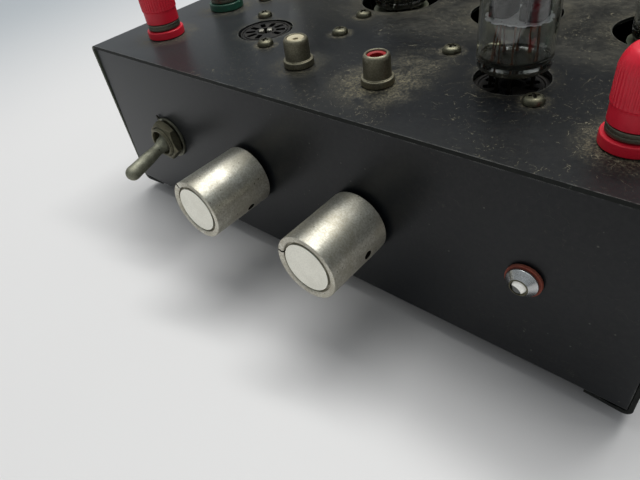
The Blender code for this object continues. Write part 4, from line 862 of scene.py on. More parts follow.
def spun(name, points, sides=64, closed=False):
    """A turned piece about local Z; its profile runs outwards along the top and down the outside."""
    outline = rounded(points, closed)
    distances = [0.0]
    for point, following in zip(outline, outline[1:]):
        distances.append(distances[-1] + (following - point).length)
    spokes = [(math.cos(i * FULL_TURN / sides), math.sin(i * FULL_TURN / sides)) for i in range(sides)]
    rings = [[Vector((p.x * c, p.x * s, p.y)) for c, s in spokes] for p in outline]
    return lofted(name, rings, closed, distances)


def block(name, low, high):
    builder = bmesh.new()
    made = bmesh.ops.create_cube(builder, size=1)["verts"]
    low, high = Vector(low), Vector(high)
    size = high - low
    for vert in made:
        vert.co = Vector(vert.co[i] * size[i] for i in range(3)) + (low + high) / 2
    return object_from(name, builder)


def cut(found, *cutters):
    """Takes the cutters out of a piece; the cut faces get the cutter's finish, if it has one."""
    for cutter in cutters:
        bore = found.modifiers.new("cut", "BOOLEAN")
        bore.operation = "DIFFERENCE"
        bore.solver = "EXACT"
        bore.material_mode = "TRANSFER"
        bore.object = cutter
    evaluated(found)
    for cutter in cutters:
        bpy.data.objects.remove(cutter, do_unlink=True)
    return found


def hex_nut(name, flats, height, bore, chamfer_share=0.96):
    """A hexagon whose corners are chamfered on both faces, with a bore."""
    sides = 96
    apothem = flats / 2
    chamfer = apothem * chamfer_share
    top, shoulder, low_shoulder, low, bore_low, bore_top = [], [], [], [], [], []
    for i in range(sides):
        angle = i * FULL_TURN / sides
        reach = apothem / math.cos((angle + math.pi / 6) % (math.pi / 3) - math.pi / 6)
        drop = (reach - chamfer) * math.tan(math.radians(30))
        c, s = math.cos(angle), math.sin(angle)
        top.append(Vector((chamfer * c, chamfer * s, height)))
        shoulder.append(Vector((reach * c, reach * s, height - drop)))
        low_shoulder.append(Vector((reach * c, reach * s, drop)))
        low.append(Vector((chamfer * c, chamfer * s, 0)))
        bore_low.append(Vector((bore * c, bore * s, 0)))
        bore_top.append(Vector((bore * c, bore * s, height)))
    return lofted(name, [top, shoulder, low_shoulder, low, bore_low, bore_top], True)


def wire(builder, path, radius, sides=8):
    """A bent wire along a few points, closed at both ends."""
    before = None
    for i, point in enumerate(path):
        ahead = (path[min(i + 1, len(path) - 1)] - path[max(i - 1, 0)]).normalized()
        side = ahead.cross(Vector((1, 0.013, 0.007))).normalized()
        other = ahead.cross(side)
        ring = [
            builder.verts.new(point + radius * (side * math.cos(a) + other * math.sin(a)))
            for a in (j * FULL_TURN / sides for j in range(sides))
        ]
        if before:
            for j in range(sides):
                k = (j + 1) % sides
                builder.faces.new((before[j], before[k], ring[k], ring[j]))
        else:
            builder.faces.new(list(reversed(ring)))
        before = ring
    builder.faces.new(before)


# Geometry nodes for what repeats


def geometry_tree(name, inputs):
    tree = bpy.data.node_groups.new(name, "GeometryNodeTree")
    tree.interface.new_socket("Geometry", in_out="INPUT", socket_type="NodeSocketGeometry")
    sockets = {}
    for label, kind in inputs:
        made = tree.interface.new_socket(label, in_out="INPUT", socket_type="NodeSocket" + kind)
        sockets[label] = made.identifier
    tree.interface.new_socket("Geometry", in_out="OUTPUT", socket_type="NodeSocketGeometry")
    given = tree.nodes.new("NodeGroupInput").outputs
    result = tree.nodes.new("NodeGroupOutput").inputs
    return tree, sockets, given, result


def gadd(tree, kind, inputs=None, **settings):
    node = tree.nodes.new(kind)
    for key, value in settings.items():
        setattr(node, key, value)
    for key, value in (inputs or {}).items():
        join(tree, value, node.inputs[key])
    return node.outputs


def combined(tree, parts):
    """A vector of the parts that are given by axis number."""
    return gadd(tree, "ShaderNodeCombineXYZ", parts)[0]


def set_material_and_end(tree, geometry, material, result):
    """Instances made real, and the finish on all that has none of its own."""
    real = gadd(tree, "GeometryNodeRealizeInstances", {0: geometry})[0]
    own = gadd(
        tree, "FunctionNodeCompare", {2: gadd(tree, "GeometryNodeInputMaterialIndex")[0], 3: 0},
        data_type="INT", operation="EQUAL"
    )[0]
    finished = gadd(
        tree, "GeometryNodeSetMaterial", {"Geometry": real, "Selection": own, "Material": material}
    )[0]
    tree.links.new(finished, result[0])


def set_out_tree():
    """A shape put at every point of the base mesh, turned about Z by the point's own angle."""
    tree, sockets, given, result = geometry_tree("set_out", [("Shape", "Object"), ("Finish", "Material")])
    turn = gadd(tree, "GeometryNodeInputNamedAttribute", {"Name": "turn"}, data_type="FLOAT_VECTOR")[0]
    shape = gadd(tree, "GeometryNodeObjectInfo", {"Object": given["Shape"]})["Geometry"]
    points = gadd(
        tree, "GeometryNodeInstanceOnPoints", {"Points": given[0], "Instance": shape, "Rotation": turn}
    )[0]
    set_material_and_end(tree, points, given["Finish"], result)
    return tree, sockets


def pin_ring_tree():
    """A shape on some of the places of a ring, each turned outwards."""
    inputs = [
        ("Shape", "Object"), ("Places", "Int"), ("Count", "Int"), ("Radius", "Float"),
        ("Finish", "Material")
    ]
    tree, sockets, given, result = geometry_tree("pin_ring", inputs)
    ring = gadd(tree, "GeometryNodeMeshCircle", {"Vertices": given["Places"], "Radius": given["Radius"]})[0]
    number = gadd(tree, "GeometryNodeInputIndex")[0]
    spare = gadd(
        tree, "FunctionNodeCompare", {2: number, 3: given["Count"]}, data_type="INT",
        operation="GREATER_EQUAL"
    )[0]
    kept = gadd(tree, "GeometryNodeDeleteGeometry", {0: ring, 1: spare})[0]
    share = calc(tree, "DIVIDE", number, given["Places"])
    angle = times(tree, share, FULL_TURN)
    turn = combined(tree, {2: angle})
    shape = gadd(tree, "GeometryNodeObjectInfo", {"Object": given["Shape"]})["Geometry"]
    pins = gadd(
        tree, "GeometryNodeInstanceOnPoints", {"Points": kept, "Instance": shape, "Rotation": turn}
    )[0]
    set_material_and_end(tree, pins, given["Finish"], result)
    return tree, sockets


def lamination_tree():
    """A stack of sheets along Y, each a hair out of line with the next."""
    inputs = [
        ("Sheet", "Object"), ("Count", "Int"), ("Pitch", "Float"), ("Shift", "Float"), ("Seed", "Int"),
        ("Finish", "Material")
    ]
    tree, sockets, given, result = geometry_tree("laminations", inputs)
    step = combined(tree, {1: given["Pitch"]})
    line = gadd(tree, "GeometryNodeMeshLine", {"Count": given["Count"], "Offset": step})[0]
    sheet = gadd(tree, "GeometryNodeObjectInfo", {"Object": given["Sheet"]})["Geometry"]
    stack = gadd(tree, "GeometryNodeInstanceOnPoints", {"Points": line, "Instance": sheet})[0]
    sideways = combined(tree, {0: given["Shift"], 2: given["Shift"]})
    back = gadd(tree, "ShaderNodeVectorMath", {0: sideways, "Scale": -1.0}, operation="SCALE")[0]
    stray = gadd(
        tree, "FunctionNodeRandomValue", {0: back, 1: sideways, "Seed": given["Seed"]},
        data_type="FLOAT_VECTOR"
    )[0]
    moved = gadd(tree, "GeometryNodeTranslateInstances", {"Instances": stack, "Translation": stray})[0]
    set_material_and_end(tree, moved, given["Finish"], result)
    return tree, sockets


def moulded_rib_tree():
    """Ribs moulded round a turned piece: its outside is drawn in between them, between two heights."""
    inputs = [
        ("Count", "Int"), ("Depth", "Float"), ("Low", "Float"), ("High", "Float"), ("Fade", "Float"),
        ("Within", "Float"), ("Finish", "Material")
    ]
    tree, sockets, given, result = geometry_tree("moulded_ribs", inputs)
    spot = gadd(tree, "GeometryNodeInputPosition")[0]
    x, y, z = gadd(tree, "ShaderNodeSeparateXYZ", {0: spot})
    angle = calc(tree, "ARCTAN2", y, x)
    phase = times(tree, angle, given["Count"])
    wave = calc(tree, "COSINE", phase)
    valley = fade(tree, wave, 0.75, -0.9)
    over = plus(tree, given["Low"], given["Fade"])
    rising = fade(tree, z, given["Low"], over)
    under = calc(tree, "SUBTRACT", given["High"], given["Fade"])
    falling = fade(tree, z, given["High"], under)
    window = times(tree, rising, falling)
    flat = combined(tree, {0: x, 1: y})
    reach = vector_calc(tree, "LENGTH", flat)
    outside = gadd(tree, "FunctionNodeCompare", {0: reach, 1: given["Within"]}, operation="GREATER_THAN")[0]
    out = vector_calc(tree, "NORMALIZE", flat)
    drawn = times(tree, given["Depth"], valley)
    drawn = times(tree, drawn, window)
    drawn = times(tree, drawn, -1.0)
    offset = gadd(tree, "ShaderNodeVectorMath", {0: out, "Scale": drawn}, operation="SCALE")[0]
    ribbed = gadd(
        tree, "GeometryNodeSetPosition", {"Geometry": given[0], "Selection": outside, "Offset": offset}
    )[0]
    set_material_and_end(tree, ribbed, given["Finish"], result)
    return tree, sockets


SET_OUT = set_out_tree()
PIN_RING = pin_ring_tree()
LAMINATIONS = lamination_tree()
MOULDED_RIBS = moulded_rib_tree()


def grown(base, tree_and_sockets, **values):
    """Runs a geometry tree on a base object and keeps the plain mesh."""
    tree, sockets = tree_and_sockets
    nodes = base.modifiers.new("nodes", "NODES")
    nodes.node_group = tree
    for label, value in values.items():
        nodes[sockets[label]] = value
    return evaluated(base)


def point_cloud(name, points, turns=None):
    """A base mesh of loose points, with the angle that each one turns its shape by."""
    mesh = bpy.data.meshes.new(name)
    mesh.from_pydata(points, [], [])
    turn = mesh.attributes.new("turn", "FLOAT_VECTOR", "POINT")
    for i, angle in enumerate(turns or [0.0] * len(points)):
        turn.data[i].vector = (0, 0, angle)
    return linked(name, mesh)


def set_out(name, shape, points, material, turns=None):
    """Copies of a shape at the points, as one plain mesh; the shape itself goes."""
    found = grown(point_cloud(name, points, turns), SET_OUT, Shape=shape, Finish=material)
    bpy.data.objects.remove(shape, do_unlink=True)
    return found


def ring_of(name, shape, material):
    """Copies of a shape on the noval pin circle, as one plain mesh; the shape itself goes."""
    found = grown(
        point_cloud(name, [(0, 0, 0)]),
        PIN_RING,
        Shape=shape,
        Places=PIN_PLACES,
        Count=PIN_COUNT,
        Radius=PIN_CIRCLE,
        Finish=material,
    )
    bpy.data.objects.remove(shape, do_unlink=True)
    return found


def middle(node):
    low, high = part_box(node)
    return (low + high) / 2


# The chassis


def folded(name, corners, axis, low, high, radius=0.0025, steps=8):
    """One sheet bent along outer corners given in the order that keeps its inside on the left."""
    points = [Vector(corner) for corner in corners]
    outer, inner = [], []

    def note(spot, inward):
        outer.append(spot)
        inner.append(spot + inward * SHEET)

    for i, corner in enumerate(points):
        if i in (0, len(points) - 1):
            run = (points[1] - points[0]) if i == 0 else (points[-1] - points[-2])
            run.normalize()
            note(corner, Vector((-run.y, run.x)))
            continue
        arriving = (corner - points[i - 1]).normalized()
        left = Vector((-arriving.y, arriving.x))
        centre = corner - arriving * radius + left * radius
        for step in range(steps + 1):
            angle = step / steps * QUARTER_TURN
            out = -left * math.cos(angle) + arriving * math.sin(angle)
            note(centre + out * radius, -out)
    line = outer + inner[::-1]
    builder = bmesh.new()
    ends = []
    for along in (low, high):
        if axis == "Y":
            ends.append([builder.verts.new((p.x, along, p.y)) for p in line])
        else:
            ends.append([builder.verts.new((along, p.x, p.y)) for p in line])
    count = len(outer)
    for j in range(len(line)):
        k = (j + 1) % len(line)
        builder.faces.new((ends[0][j], ends[0][k], ends[1][k], ends[1][j]))
    for verts in ends:
        for j in range(count - 1):
            builder.faces.new((verts[j], verts[j + 1], verts[-2 - j], verts[-1 - j]))
    bmesh.ops.recalc_face_normals(builder, faces=builder.faces)
    return object_from(name, builder)


def drill(name, radius, low, high, place, turn=(0, 0, 0), sides=72):
    return placed(spun(name, [(0, high), (radius, high), (radius, low), (0, low)], sides), place, turn)


def make_cover():
    """Top plate, sides and bottom flanges in one bend, with its holes."""
    flange = 0.0125
    bottom = COVER_LOW.z
    corners = [
        (HALF_WIDTH - flange, bottom),
        (HALF_WIDTH, bottom),
        (HALF_WIDTH, TOP_Z),
        (-HALF_WIDTH, TOP_Z),
        (-HALF_WIDTH, bottom),
        (-HALF_WIDTH + flange, bottom),
    ]
    cover = folded("chassis_cover_dress", corners, "Y", FRONT_Y, BACK_Y)
    holes = [(middle(f"power_tube_{i}"), 0.0155) for i in range(1, 5)]
    holes += [(middle(f"driver_socket_{side}"), 0.0107) for side in SIDES]
    holes += [(middle(f"input_jack_shell_{side}"), 0.0035) for side in SIDES]
    holes += [(middle(f"post_base_{post}"), 0.0047) for post in POSTS]
    holes += [(middle(screw), 0.0018) for screw in SCREWS]
    drills = [drill("hole", radius, -0.004, 0.002, (spot.x, spot.y, TOP_Z)) for spot, radius in holes]
    lean = block("lean", (-0.2, -0.02, -0.08), (0.2, 0, 0.01))
    placed(lean, (0, FRONT_Y, TOP_Z), (math.atan2(0.0011, TOP_Z - bottom), 0, 0))
    setbacks = []
    for sign in (-1, 1):
        low_x, high_x = sorted((0, -sign * 0.0125))
        setback = block("setback", (low_x, -0.003, -0.001), (high_x, 0, 0.003))
        start = (sign * (HALF_WIDTH - 0.0024), FRONT_Y + 0.00105, bottom)
        setbacks.append(placed(setback, start, (0, 0, -sign * math.radians(4))))
    cut(cover, *drills, lean, *setbacks)
    smoothed(cover, 0.00012)
    halos = [(spot.x, spot.y, radius, radius + 0.007, 0.40) for spot, radius in holes[:4]]
    halos += [(spot.x, spot.y, radius, radius + 0.004, 0.25) for spot, radius in holes[4:6]]
    halos += [
        (spot.x, spot.y, 0.0050, *((0.0130, 0.4) if spot.x < 0 else (0.0190, 1.0))) for spot,
        _ in holes[6:8]
    ]
    halos += [(0.0215, -0.0460, 0.0, 0.0170, 0.55)]
    halos += [(spot.x, spot.y, 0.0072, 0.0150, 0.75) for spot, _ in holes[8:12]]
    halos += [(spot.x, spot.y, 0.0029, 0.0060, 0.75) for spot, _ in holes[12:]]
    painted(cover, charcoal_paint("cover_paint", halos, (0, 0, 0), 0.92))
    second_finish(cover, EDGE, lambda face: abs(face.normal.y) > 0.95)
    second_finish(
        cover, EDGE, lambda face: face.normal.x > 0.95 and face.center.x < SHEET * 1.5 - HALF_WIDTH
    )
    done(cover, "chassis", ["chassis_cover"])


def make_tray():
    """Front panel, floor and rear panel in one bend, with the holes for what they carry."""
    low, high = TRAY_LOW, TRAY_HIGH
    corners = [(PANEL_Y, high.z), (PANEL_Y, low.z), (REAR_PANEL_Y, low.z), (REAR_PANEL_Y, high.z)]
    tray = folded("chassis_tray_dress", corners, "X", low.x - 0.0003, high.x + 0.0003, 0.0014)
    holes = [(middle(f"knob_{side}"), 0.0038) for side in SIDES]
    holes += [(middle("toggle_washer"), 0.0063), (middle("lamp_washer"), 0.0033)]
    drills = [
        drill("hole", radius, -0.004, 0.002, (spot.x, PANEL_Y, spot.z), FACING) for spot, radius in holes
    ]
    inlet = middle("mains_inlet")
    half = (0.0138, 0.01005)
    opening = block(
        "opening",
        (inlet.x - half[0], REAR_PANEL_Y - 0.004, inlet.z - half[1]),
        (inlet.x + half[0], REAR_PANEL_Y + 0.002, inlet.z + half[1]),
    )
    cut(tray, *drills, opening)
    smoothed(tray, 0.00012)
    painted(tray, charcoal_paint("panel_paint", [], (-QUARTER_TURN, 0, 0), 0.2))
    second_finish(tray, EDGE, lambda face: abs(face.normal.x) > 0.95)
    done(tray, "chassis", ["chassis_tray"])


def make_feet():
    rubber = moulded_plastic(
        "foot_rubber", (0.020, 0.020, 0.021, 1), (0.035, 0.034, 0.032, 1), 0.75, dust=0.35, grain=0.2
    )
    steel = METAL["plated"]
    seat = 0.0047
    for place in ("front_left", "front_right", "rear_left", "rear_right"):
        node = f"foot_{place}"
        spot = middle(node)
        pad = spun(
            "foot_pad",
            [
                (0, seat), (0.0055, seat, 0.0004), (0.0049, 0, 0.0006), (0.0025, 0, 0.0003),
                (0.0025, 0.0008), (0, 0.0008)
            ],
            40
        )
        stud_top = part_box(node)[1].z
        stud = spun("foot_stud", [(0, stud_top), (0.0015, stud_top, 0.0004), (0.0015, seat), (0, seat)], 20)
        smoothed(painted(pad, rubber))
        smoothed(painted(stud, steel))
        foot = joined(f"{node}_dress", [pad, stud])
        placed(foot, (spot.x, spot.y, 0))
        done(foot, "chassis", [node])


# The front panel's controls


def make_toggle():
    """The switch's body and threaded bush, its washer with a locating tab, its nut and its lever."""
    spot = middle("toggle_washer")
    at_panel = (spot.x, PANEL_Y, spot.z)
    threads = []
    for i in range(10):
        height = 0.0059 - 0.0007 * i
        threads += [(0.0060, height - 0.0002), (0.0057, height - 0.0005)]
    bush = spun(
        "toggle_bush",
        [
            (0.0044, 0.0043), (0.0050, 0.0060, 0.0003), (0.0057, 0.0060, 0.0002), *threads,
            (0.0060, -0.0015), (0.0060, -0.0032), (0, -0.0032), (0.0044, -0.0032)
        ],
        64,
        closed=True,
    )
    smoothed(painted(bush, METAL["brass"]))
    body = block("toggle_case", (-0.00825, -0.0145, -0.0185), (0.00825, 0.0145, -0.0015))
    smoothed(painted(body, PLASTIC["switch"]), 0.0008)
    lug = block("lug", (-0.0015, -0.0004, -0.0062), (0.0015, 0.0004, 0.0002))
    lugs = set_out(
        "lugs", lug, [(x, y, -0.0185) for x in (-0.0045, 0.0045) for y in (-0.0095, 0, 0.0095)],
        METAL["plated"]
    )
    switch = joined("toggle_switch_body", [body, bush, lugs])
    placed(switch, at_panel, FACING)
    done(switch, "chassis", ["toggle_body"])

    washer = spun(
        "toggle_washer_dress", [(0.0063, 0.0009), (0.0084, 0.0009, 0.0002), (0.0084, 0.0), (0.0063, 0.0)],
        72, closed=True
    )
    smoothed(painted(washer, METAL["washer"]))
    tab = block("tab", (-0.0011, 0.0080, 0.0), (0.0011, 0.0102, 0.0007))
    for vert in tab.data.vertices:
        if vert.co.y > 0.009:
            vert.co.x *= 0.15
    smoothed(painted(tab, METAL["dark"]), 0.0001)
    placed(tab, (0, 0, 0), (0, 0, math.radians(34)))
    washer = joined("toggle_washer_dress", [washer, tab])
    placed(washer, (spot.x, PANEL_Y - GAP, spot.z), FACING)
    done(washer, "chassis", ["toggle_washer"])

    nut = hex_nut("toggle_nut_dress", 0.0145, 0.0034, 0.0063)
    smoothed(painted(nut, METAL["brass"]), 0.0001)
    placed(nut, (spot.x, PANEL_Y - 0.0015, spot.z), (QUARTER_TURN, 0, math.radians(12)))
    done(nut, "chassis", ["toggle_nut"])

    steps = 10
    tip_radius = 0.00295
    tip_centre = 0.0243 - tip_radius
    tip = arc(0, tip_radius, tip_centre, tip_radius, steps)
    neck = [(0.0027, 0.0130), (0.0023, 0.0080), (0.0026, 0.0057), (0.0031, 0.0046)]
    reach = 0.0042
    start = math.asin(0.0033 / reach)
    turns = [start + i * (math.pi - start) / steps for i in range(steps)]
    ball = [(reach * math.sin(a), 0.0006 + reach * math.cos(a)) for a in turns]
    lever = spun("toggle_lever_dress", [*tip, *neck, *ball, (0, 0.0006 - reach)], 48)
    smoothed(painted(lever, METAL["lever"]))
    placed(lever, (spot.x, PANEL_Y - 0.0010, spot.z), (QUARTER_TURN + math.radians(14), 0, 0))
    done(lever, "toggle_lever", ["toggle_lever"])


def make_knob(side, pointer, screw_angle):
    """A turned aluminium knob: a rim with a shallow inner step and a pointer slit, and an inset face."""
    spot = middle(f"knob_{side}")
    at_panel = (spot.x, PANEL_Y, spot.z)
    front, back = 0.0263, 0.0015
    knob = spun(
        f"knob_{side}_dress",
        [
            (0.00885, front - 0.00035, 0.0001),
            (0.00930, front, 0.0002),
            (0.01085, front, 0.00030),
            (0.01085, back, 0.0003),
            (0.00660, back, 0.0002),
            (0.00640, 0.0056),
            (0.00280, 0.0056),
            (0.00280, 0.0212),
            (0, 0.0212),
            (0, 0.0244),
            (0.00885, 0.0244),
        ],
        128,
        closed=True,
    )
    slit = block("slit", (-0.00035, 0.0086, front - 0.0019), (0.00035, 0.013, front + 0.002))
    placed(slit, (0, 0, 0), (0, 0, -pointer))
    way = spun("screw_way", [(0, 0.013), (0.0015, 0.013), (0.0015, 0.0), (0, 0.0)], 40)
    placed(way, (0, 0, 0.0107), (-QUARTER_TURN, 0, 0))
    placed(way, (0, 0, 0), (0, 0, -screw_angle))
    # The slit's and the screw way's cut faces take the blackened finish: painted shade inside these recesses.
    cut(painted(knob, METAL["knob"]), painted(slit, METAL["dark"]), painted(way, METAL["dark"]))
    smoothed(knob, 0.00004)
    grub_line = [
        (0, 0.0060), (0.0006, 0.0060), (0.0007, 0.0072), (0.00142, 0.0072, 0.0002), (0.00142, 0.0040),
        (0, 0.0040)
    ]
    grub = spun("grub", grub_line, 24)
    smoothed(painted(grub, METAL["dark"]))
    placed(grub, (0, 0, 0.0107), (-QUARTER_TURN, 0, 0))
    placed(grub, (0, 0, 0), (0, 0, -screw_angle))
    knob = joined(f"knob_{side}_dress", [knob, grub])
    placed(knob, at_panel, FACING)
    done(knob, f"volume_knob_{side}", [f"knob_{side}"])

    face = spun(
        f"knob_face_{side}_dress",
        [
            (0, front - 0.0001), (0.0081, front - 0.0001, 0.00015), (0.0081, front - 0.0016),
            (0, front - 0.0016)
        ],
        96
    )
    smoothed(painted(face, METAL["face"]))
    placed(face, at_panel, FACING)
    done(face, f"volume_knob_{side}", [f"knob_face_{side}"])


def make_pilot_lamp():
    """Fibre washer, polished cone and the lens in it."""
    spot = middle("lamp_washer")
    at_panel = (spot.x, PANEL_Y, spot.z)
    fibre = moulded_plastic(
        "red_fibre", (0.30, 0.058, 0.028, 1), (0.15, 0.032, 0.020, 1), 0.70, dust=0.25, stain=0.8,
        grain=0.35
    )
    washer = spun(
        "lamp_washer_dress",
        [(0.0033, 0.0012), (0.0050, 0.0012, 0.00015), (0.0050, 0.0003, 0.0001), (0.0033, 0.0003)], 64,
        closed=True
    )
    smoothed(painted(washer, fibre))
    placed(washer, at_panel, FACING)
    done(washer, "chassis", ["lamp_washer"])
    front = 0.0041
    bezel = spun(
        "lamp_bezel_dress",
        [
            (0.0021, front - 0.0010),
            (0.00222, front - 0.0001, 0.00004),
            (0.00240, front - 0.0001, 0.00006),
            (0.00256, front - 0.00028),
            (0.0044, 0.0020, 0.0002),
            (0.0044, 0.0015),
            (0.0030, 0.0015),
            (0.0030, -0.0015),
            (0.0050, -0.0015),
            (0.0050, -0.0037),
            (0.0030, -0.0037),
            (0.0030, -0.0117),
            (0.0021, -0.0117),
        ],
        72,
        closed=True,
    )
    smoothed(painted(bezel, METAL["chrome"]))
    # The mouth ring round the lens takes the darker olive brass finish: painted shade for the groove between
    # lens and bezel.
    second_finish(
        bezel, METAL["brass"], lambda face: math.hypot(*face.center.xy) < 0.00250 and face.center.z > 0.002
    )
    placed(bezel, at_panel, FACING)
    done(bezel, "chassis", ["lamp_bezel"])
    lens = spun("lamp_lens_dress", [*arc(0, 0.0019, 0.0033, 0.0017), (0.0019, -0.0117), (0, -0.0117)], 48)
    smoothed(painted(lens, milky_lens(spot)))
    placed(lens, at_panel, FACING)
    done(lens, "chassis", ["lamp_lens"])


def milky_lens(spot):
    """The lamp's clear plastic: a painted highlight crescent at its upper right, which also glows, and
    painted shade at its lower left.
    """
    material, tree, shader = new_material(
        "clouded_lens",
        {
            "Transmission Weight": 0.12, "IOR": 1.49, "Coat Weight": 1.0, "Coat Roughness": 0.04,
            "Metallic": 0.0, "Emission Strength": 0.28
        }
    )
    coords = object_coords(tree)
    level = add(tree, "VectorMath", {0: coords, 1: (1, 0, 1)}, operation="MULTIPLY").outputs[0]
    # Painted highlight and shade: a pale crescent at the upper right and dark at the lower left, set by the
    # distance from a point below and left of the lens's centre.
    gone = vector_calc(tree, "DISTANCE", level, (spot.x - 0.0005, 0, spot.z - 0.00065))
    painted_crescent = fade(tree, gone, 0.00145, 0.0016)
    tone = mottled(tree, (0.88, 0.87, 0.82, 1), (0.70, 0.68, 0.60, 1), 900.0, 0.5, 0.3)
    finish_colour(tree, shader, mix(tree, painted_crescent, (0.040, 0.046, 0.038, 1), tone["Colour"]), 0.16)
    # Painted glow: the pale crescent also gives off light.
    painted_glow = mix(tree, painted_crescent, BLACK, (0.90, 0.90, 0.84, 1))
    tree.links.new(painted_glow, shader.inputs["Emission Color"])
    grained(tree, shader, 1200.0, 0.5, 0.06, 0.0001)
    return material


# What stands on the top plate


def make_jack(side):
    """Phono jack: nickel shell with its flange, coloured insert and spring contact."""
    spot = middle(f"input_jack_shell_{side}")
    at_plate = (spot.x, spot.y, TOP_Z)
    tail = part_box(f"input_jack_shell_{side}")[0].z - TOP_Z
    shell = spun(
        f"input_jack_shell_{side}_dress",
        [
            (0.0029, 0.0090),
            (0.0031, 0.0093, 0.0001),
            (0.0035, 0.0092, 0.0002),
            (0.0039, 0.0088, 0.0002),
            (0.00412, 0.0081, 0.0004),
            (0.0042, 0.0024, 0.0002),
            (0.00505, 0.0023, 0.00035),
            (0.00505, 0.0003, 0.0001),
            (0.0032, 0.0003),
            (0.0032, -0.0015),
            (0.0055, -0.0015, 0.0002),
            (0.0055, -0.0037, 0.0002),
            (0.0032, -0.0037),
            (0.0032, tail),
            (0.0023, tail),
            (0.0023, 0.0008),
            (0.0029, 0.0008),
        ],
        72,
        closed=True,
    )
    smoothed(painted(shell, METAL["nickel"]))
    placed(shell, at_plate)
    done(shell, "chassis", [f"input_jack_shell_{side}"])

    top, dip, hole = (0.0090, 0.0003, 0.0009) if side == "left" else (0.0087, 0.0003, 0.0020)
    insert = spun(
        "insert",
        [
            (hole, top - dip, dip / 2), (0.0028, top), (0.0028, 0.0011), (0, 0.0011), (0, 0.0017),
            (hole, 0.0017)
        ],
        56,
        closed=True,
    )
    colour = PLASTIC["white" if side == "left" else "red_insert"]
    smoothed(painted(insert, colour))
    sleeve = [
        (0.0006, top - 0.0022), (hole - 0.0001, top - 0.0022), (hole - 0.0001, 0.0018), (0.0006, 0.0018)
    ]
    contact = spun("contact", sleeve, 32, closed=True)
    smoothed(painted(contact, METAL["nickel"]))
    insert = joined(f"input_jack_insert_{side}_dress", [insert, contact])
    placed(insert, at_plate)
    done(
        insert, "chassis",
        [f"input_jack_insert_{side}"]
    )


def make_post(name, plastic):
    """Binding post: moulded base, two washers on the bored stud, and a ribbed screw-down cap."""
    spot = middle(f"post_base_{name}")
    at_plate = (spot.x, spot.y, TOP_Z)
    base = spun(
        f"post_base_{name}_dress",
        [
            (0.0033, 0.0031), (0.0072, 0.0031, 0.0005), (0.0072, 0.0003, 0.0003), (0.0044, 0.0003),
            (0.0044, -0.0012), (0.0033, -0.0012)
        ],
        80,
        closed=True,
    )
    smoothed(painted(base, plastic))
    placed(base, at_plate)
    done(base, "chassis", [f"post_base_{name}"])

    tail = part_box(f"post_stud_{name}")[0].z - TOP_Z
    stud = spun(
        f"post_stud_{name}_dress",
        [
            (0.0020, 0.0205, 0.0001),
            (0.0030, 0.0205, 0.0004),
            (0.0030, 0.0056),
            (0.0063, 0.0056, 0.00025),
            (0.0063, 0.00454, 0.00006),
            (0.0061, 0.0045),
            (0.0063, 0.00446, 0.00006),
            (0.0063, 0.0034, 0.00025),
            (0.0030, 0.0034),
            (0.0030, -0.0015),
            (0.0048, -0.0015, 0.0002),
            (0.0048, -0.0045, 0.0002),
            (0.0030, -0.0045),
            (0.0030, tail, 0.0003),
            (0, tail),
            (0, 0.0034),
            (0.0020, 0.0034),
        ],
        72,
        closed=True,
    )
    smoothed(painted(stud, METAL["washer"]))
    placed(stud, at_plate)
    done(stud, "chassis", [f"post_stud_{name}"])

    low = 0.0059
    skirt = low + 0.0045
    crown = 0.0225
    heights = [skirt + 0.0003 + i * 0.0005 for i in range(16)]
    sides = [(0.0067, height) for height in reversed(heights)]
    cap = spun(
        "cap",
        [
            (0.0020, crown - 0.0002, 0.0002),
            (0.0030, crown, 0.0003),
            (0.0047, crown, 0.0011),
            (0.0062, crown - 0.0022, 0.0014),
            *sides,
            (0.00645, skirt),
            (0.0064, skirt - 0.0006),
            (0.0064, low, 0.0002),
            (0.0033, low),
            (0.0033, 0.0208),
            (0.0020, 0.0208),
        ],
        240,
        closed=True,
    )
    ribbed = grown(
        cap, MOULDED_RIBS, Count=40, Depth=0.00024, Low=skirt - 0.0001, High=crown - 0.0020, Fade=0.0012,
        Within=0.0050, Finish=plastic
    )
    ribbed.name = f"post_cap_{name}_dress"
    smoothed(ribbed)
    placed(ribbed, at_plate)
    done(ribbed, f"post_cap_{name}", [f"post_cap_{name}"])


def make_plate_screws():
    """Pan head screws with a cross recess, each turned its own way, as one piece on the plate."""
    head = spun(
        "screw",
        [
            (0, 0.0021),
            (0.0012, 0.00206),
            (0.0024, 0.0018, 0.0006),
            (0.0029, 0.0010, 0.0005),
            (0.0030, 0.0003, 0.0001),
            (0.0015, 0.0003),
            (0.0015, -0.0065),
            (0, -0.0065),
        ],
        48,
    )
    arms = []
    for angle in (0, QUARTER_TURN):
        arm = block("arm", (-0.0018, -0.00050, 0.0006), (0.0018, 0.00050, 0.003))
        for vert in arm.data.vertices:
            if vert.co.z < 0.002:
                vert.co.x *= 0.60
                vert.co.y *= 0.7
        # The cross recess takes the blackened finish: painted shade inside the recess.
        painted(arm, METAL["dark"])
        placed(arm, (0, 0, 0), (0, 0, angle))
        arms.append(arm)
    cut(painted(head, METAL["screw"]), *arms)
    smoothed(head, 0.00006)
    chance = random.Random(4)
    spots = [middle(screw) for screw in SCREWS]
    points = [(spot.x, spot.y, TOP_Z) for spot in spots]
    turns = [chance.uniform(0, QUARTER_TURN) for _ in points]
    screws = set_out("plate_screws", head, points, METAL["screw"], turns)
    done(screws, "chassis", SCREWS)

    nut = hex_nut("nut", 0.0055, 0.0024, 0.0016)
    smoothed(nut, 0.0001)
    under = TOP_Z - SHEET - GAP - 0.0012 - GAP - 0.0024
    nuts = set_out(
        "socket_nuts", nut, [(spot.x, spot.y, under) for spot in spots[:4]], METAL["screw"], turns[:4]
    )
    done(nuts, "chassis")


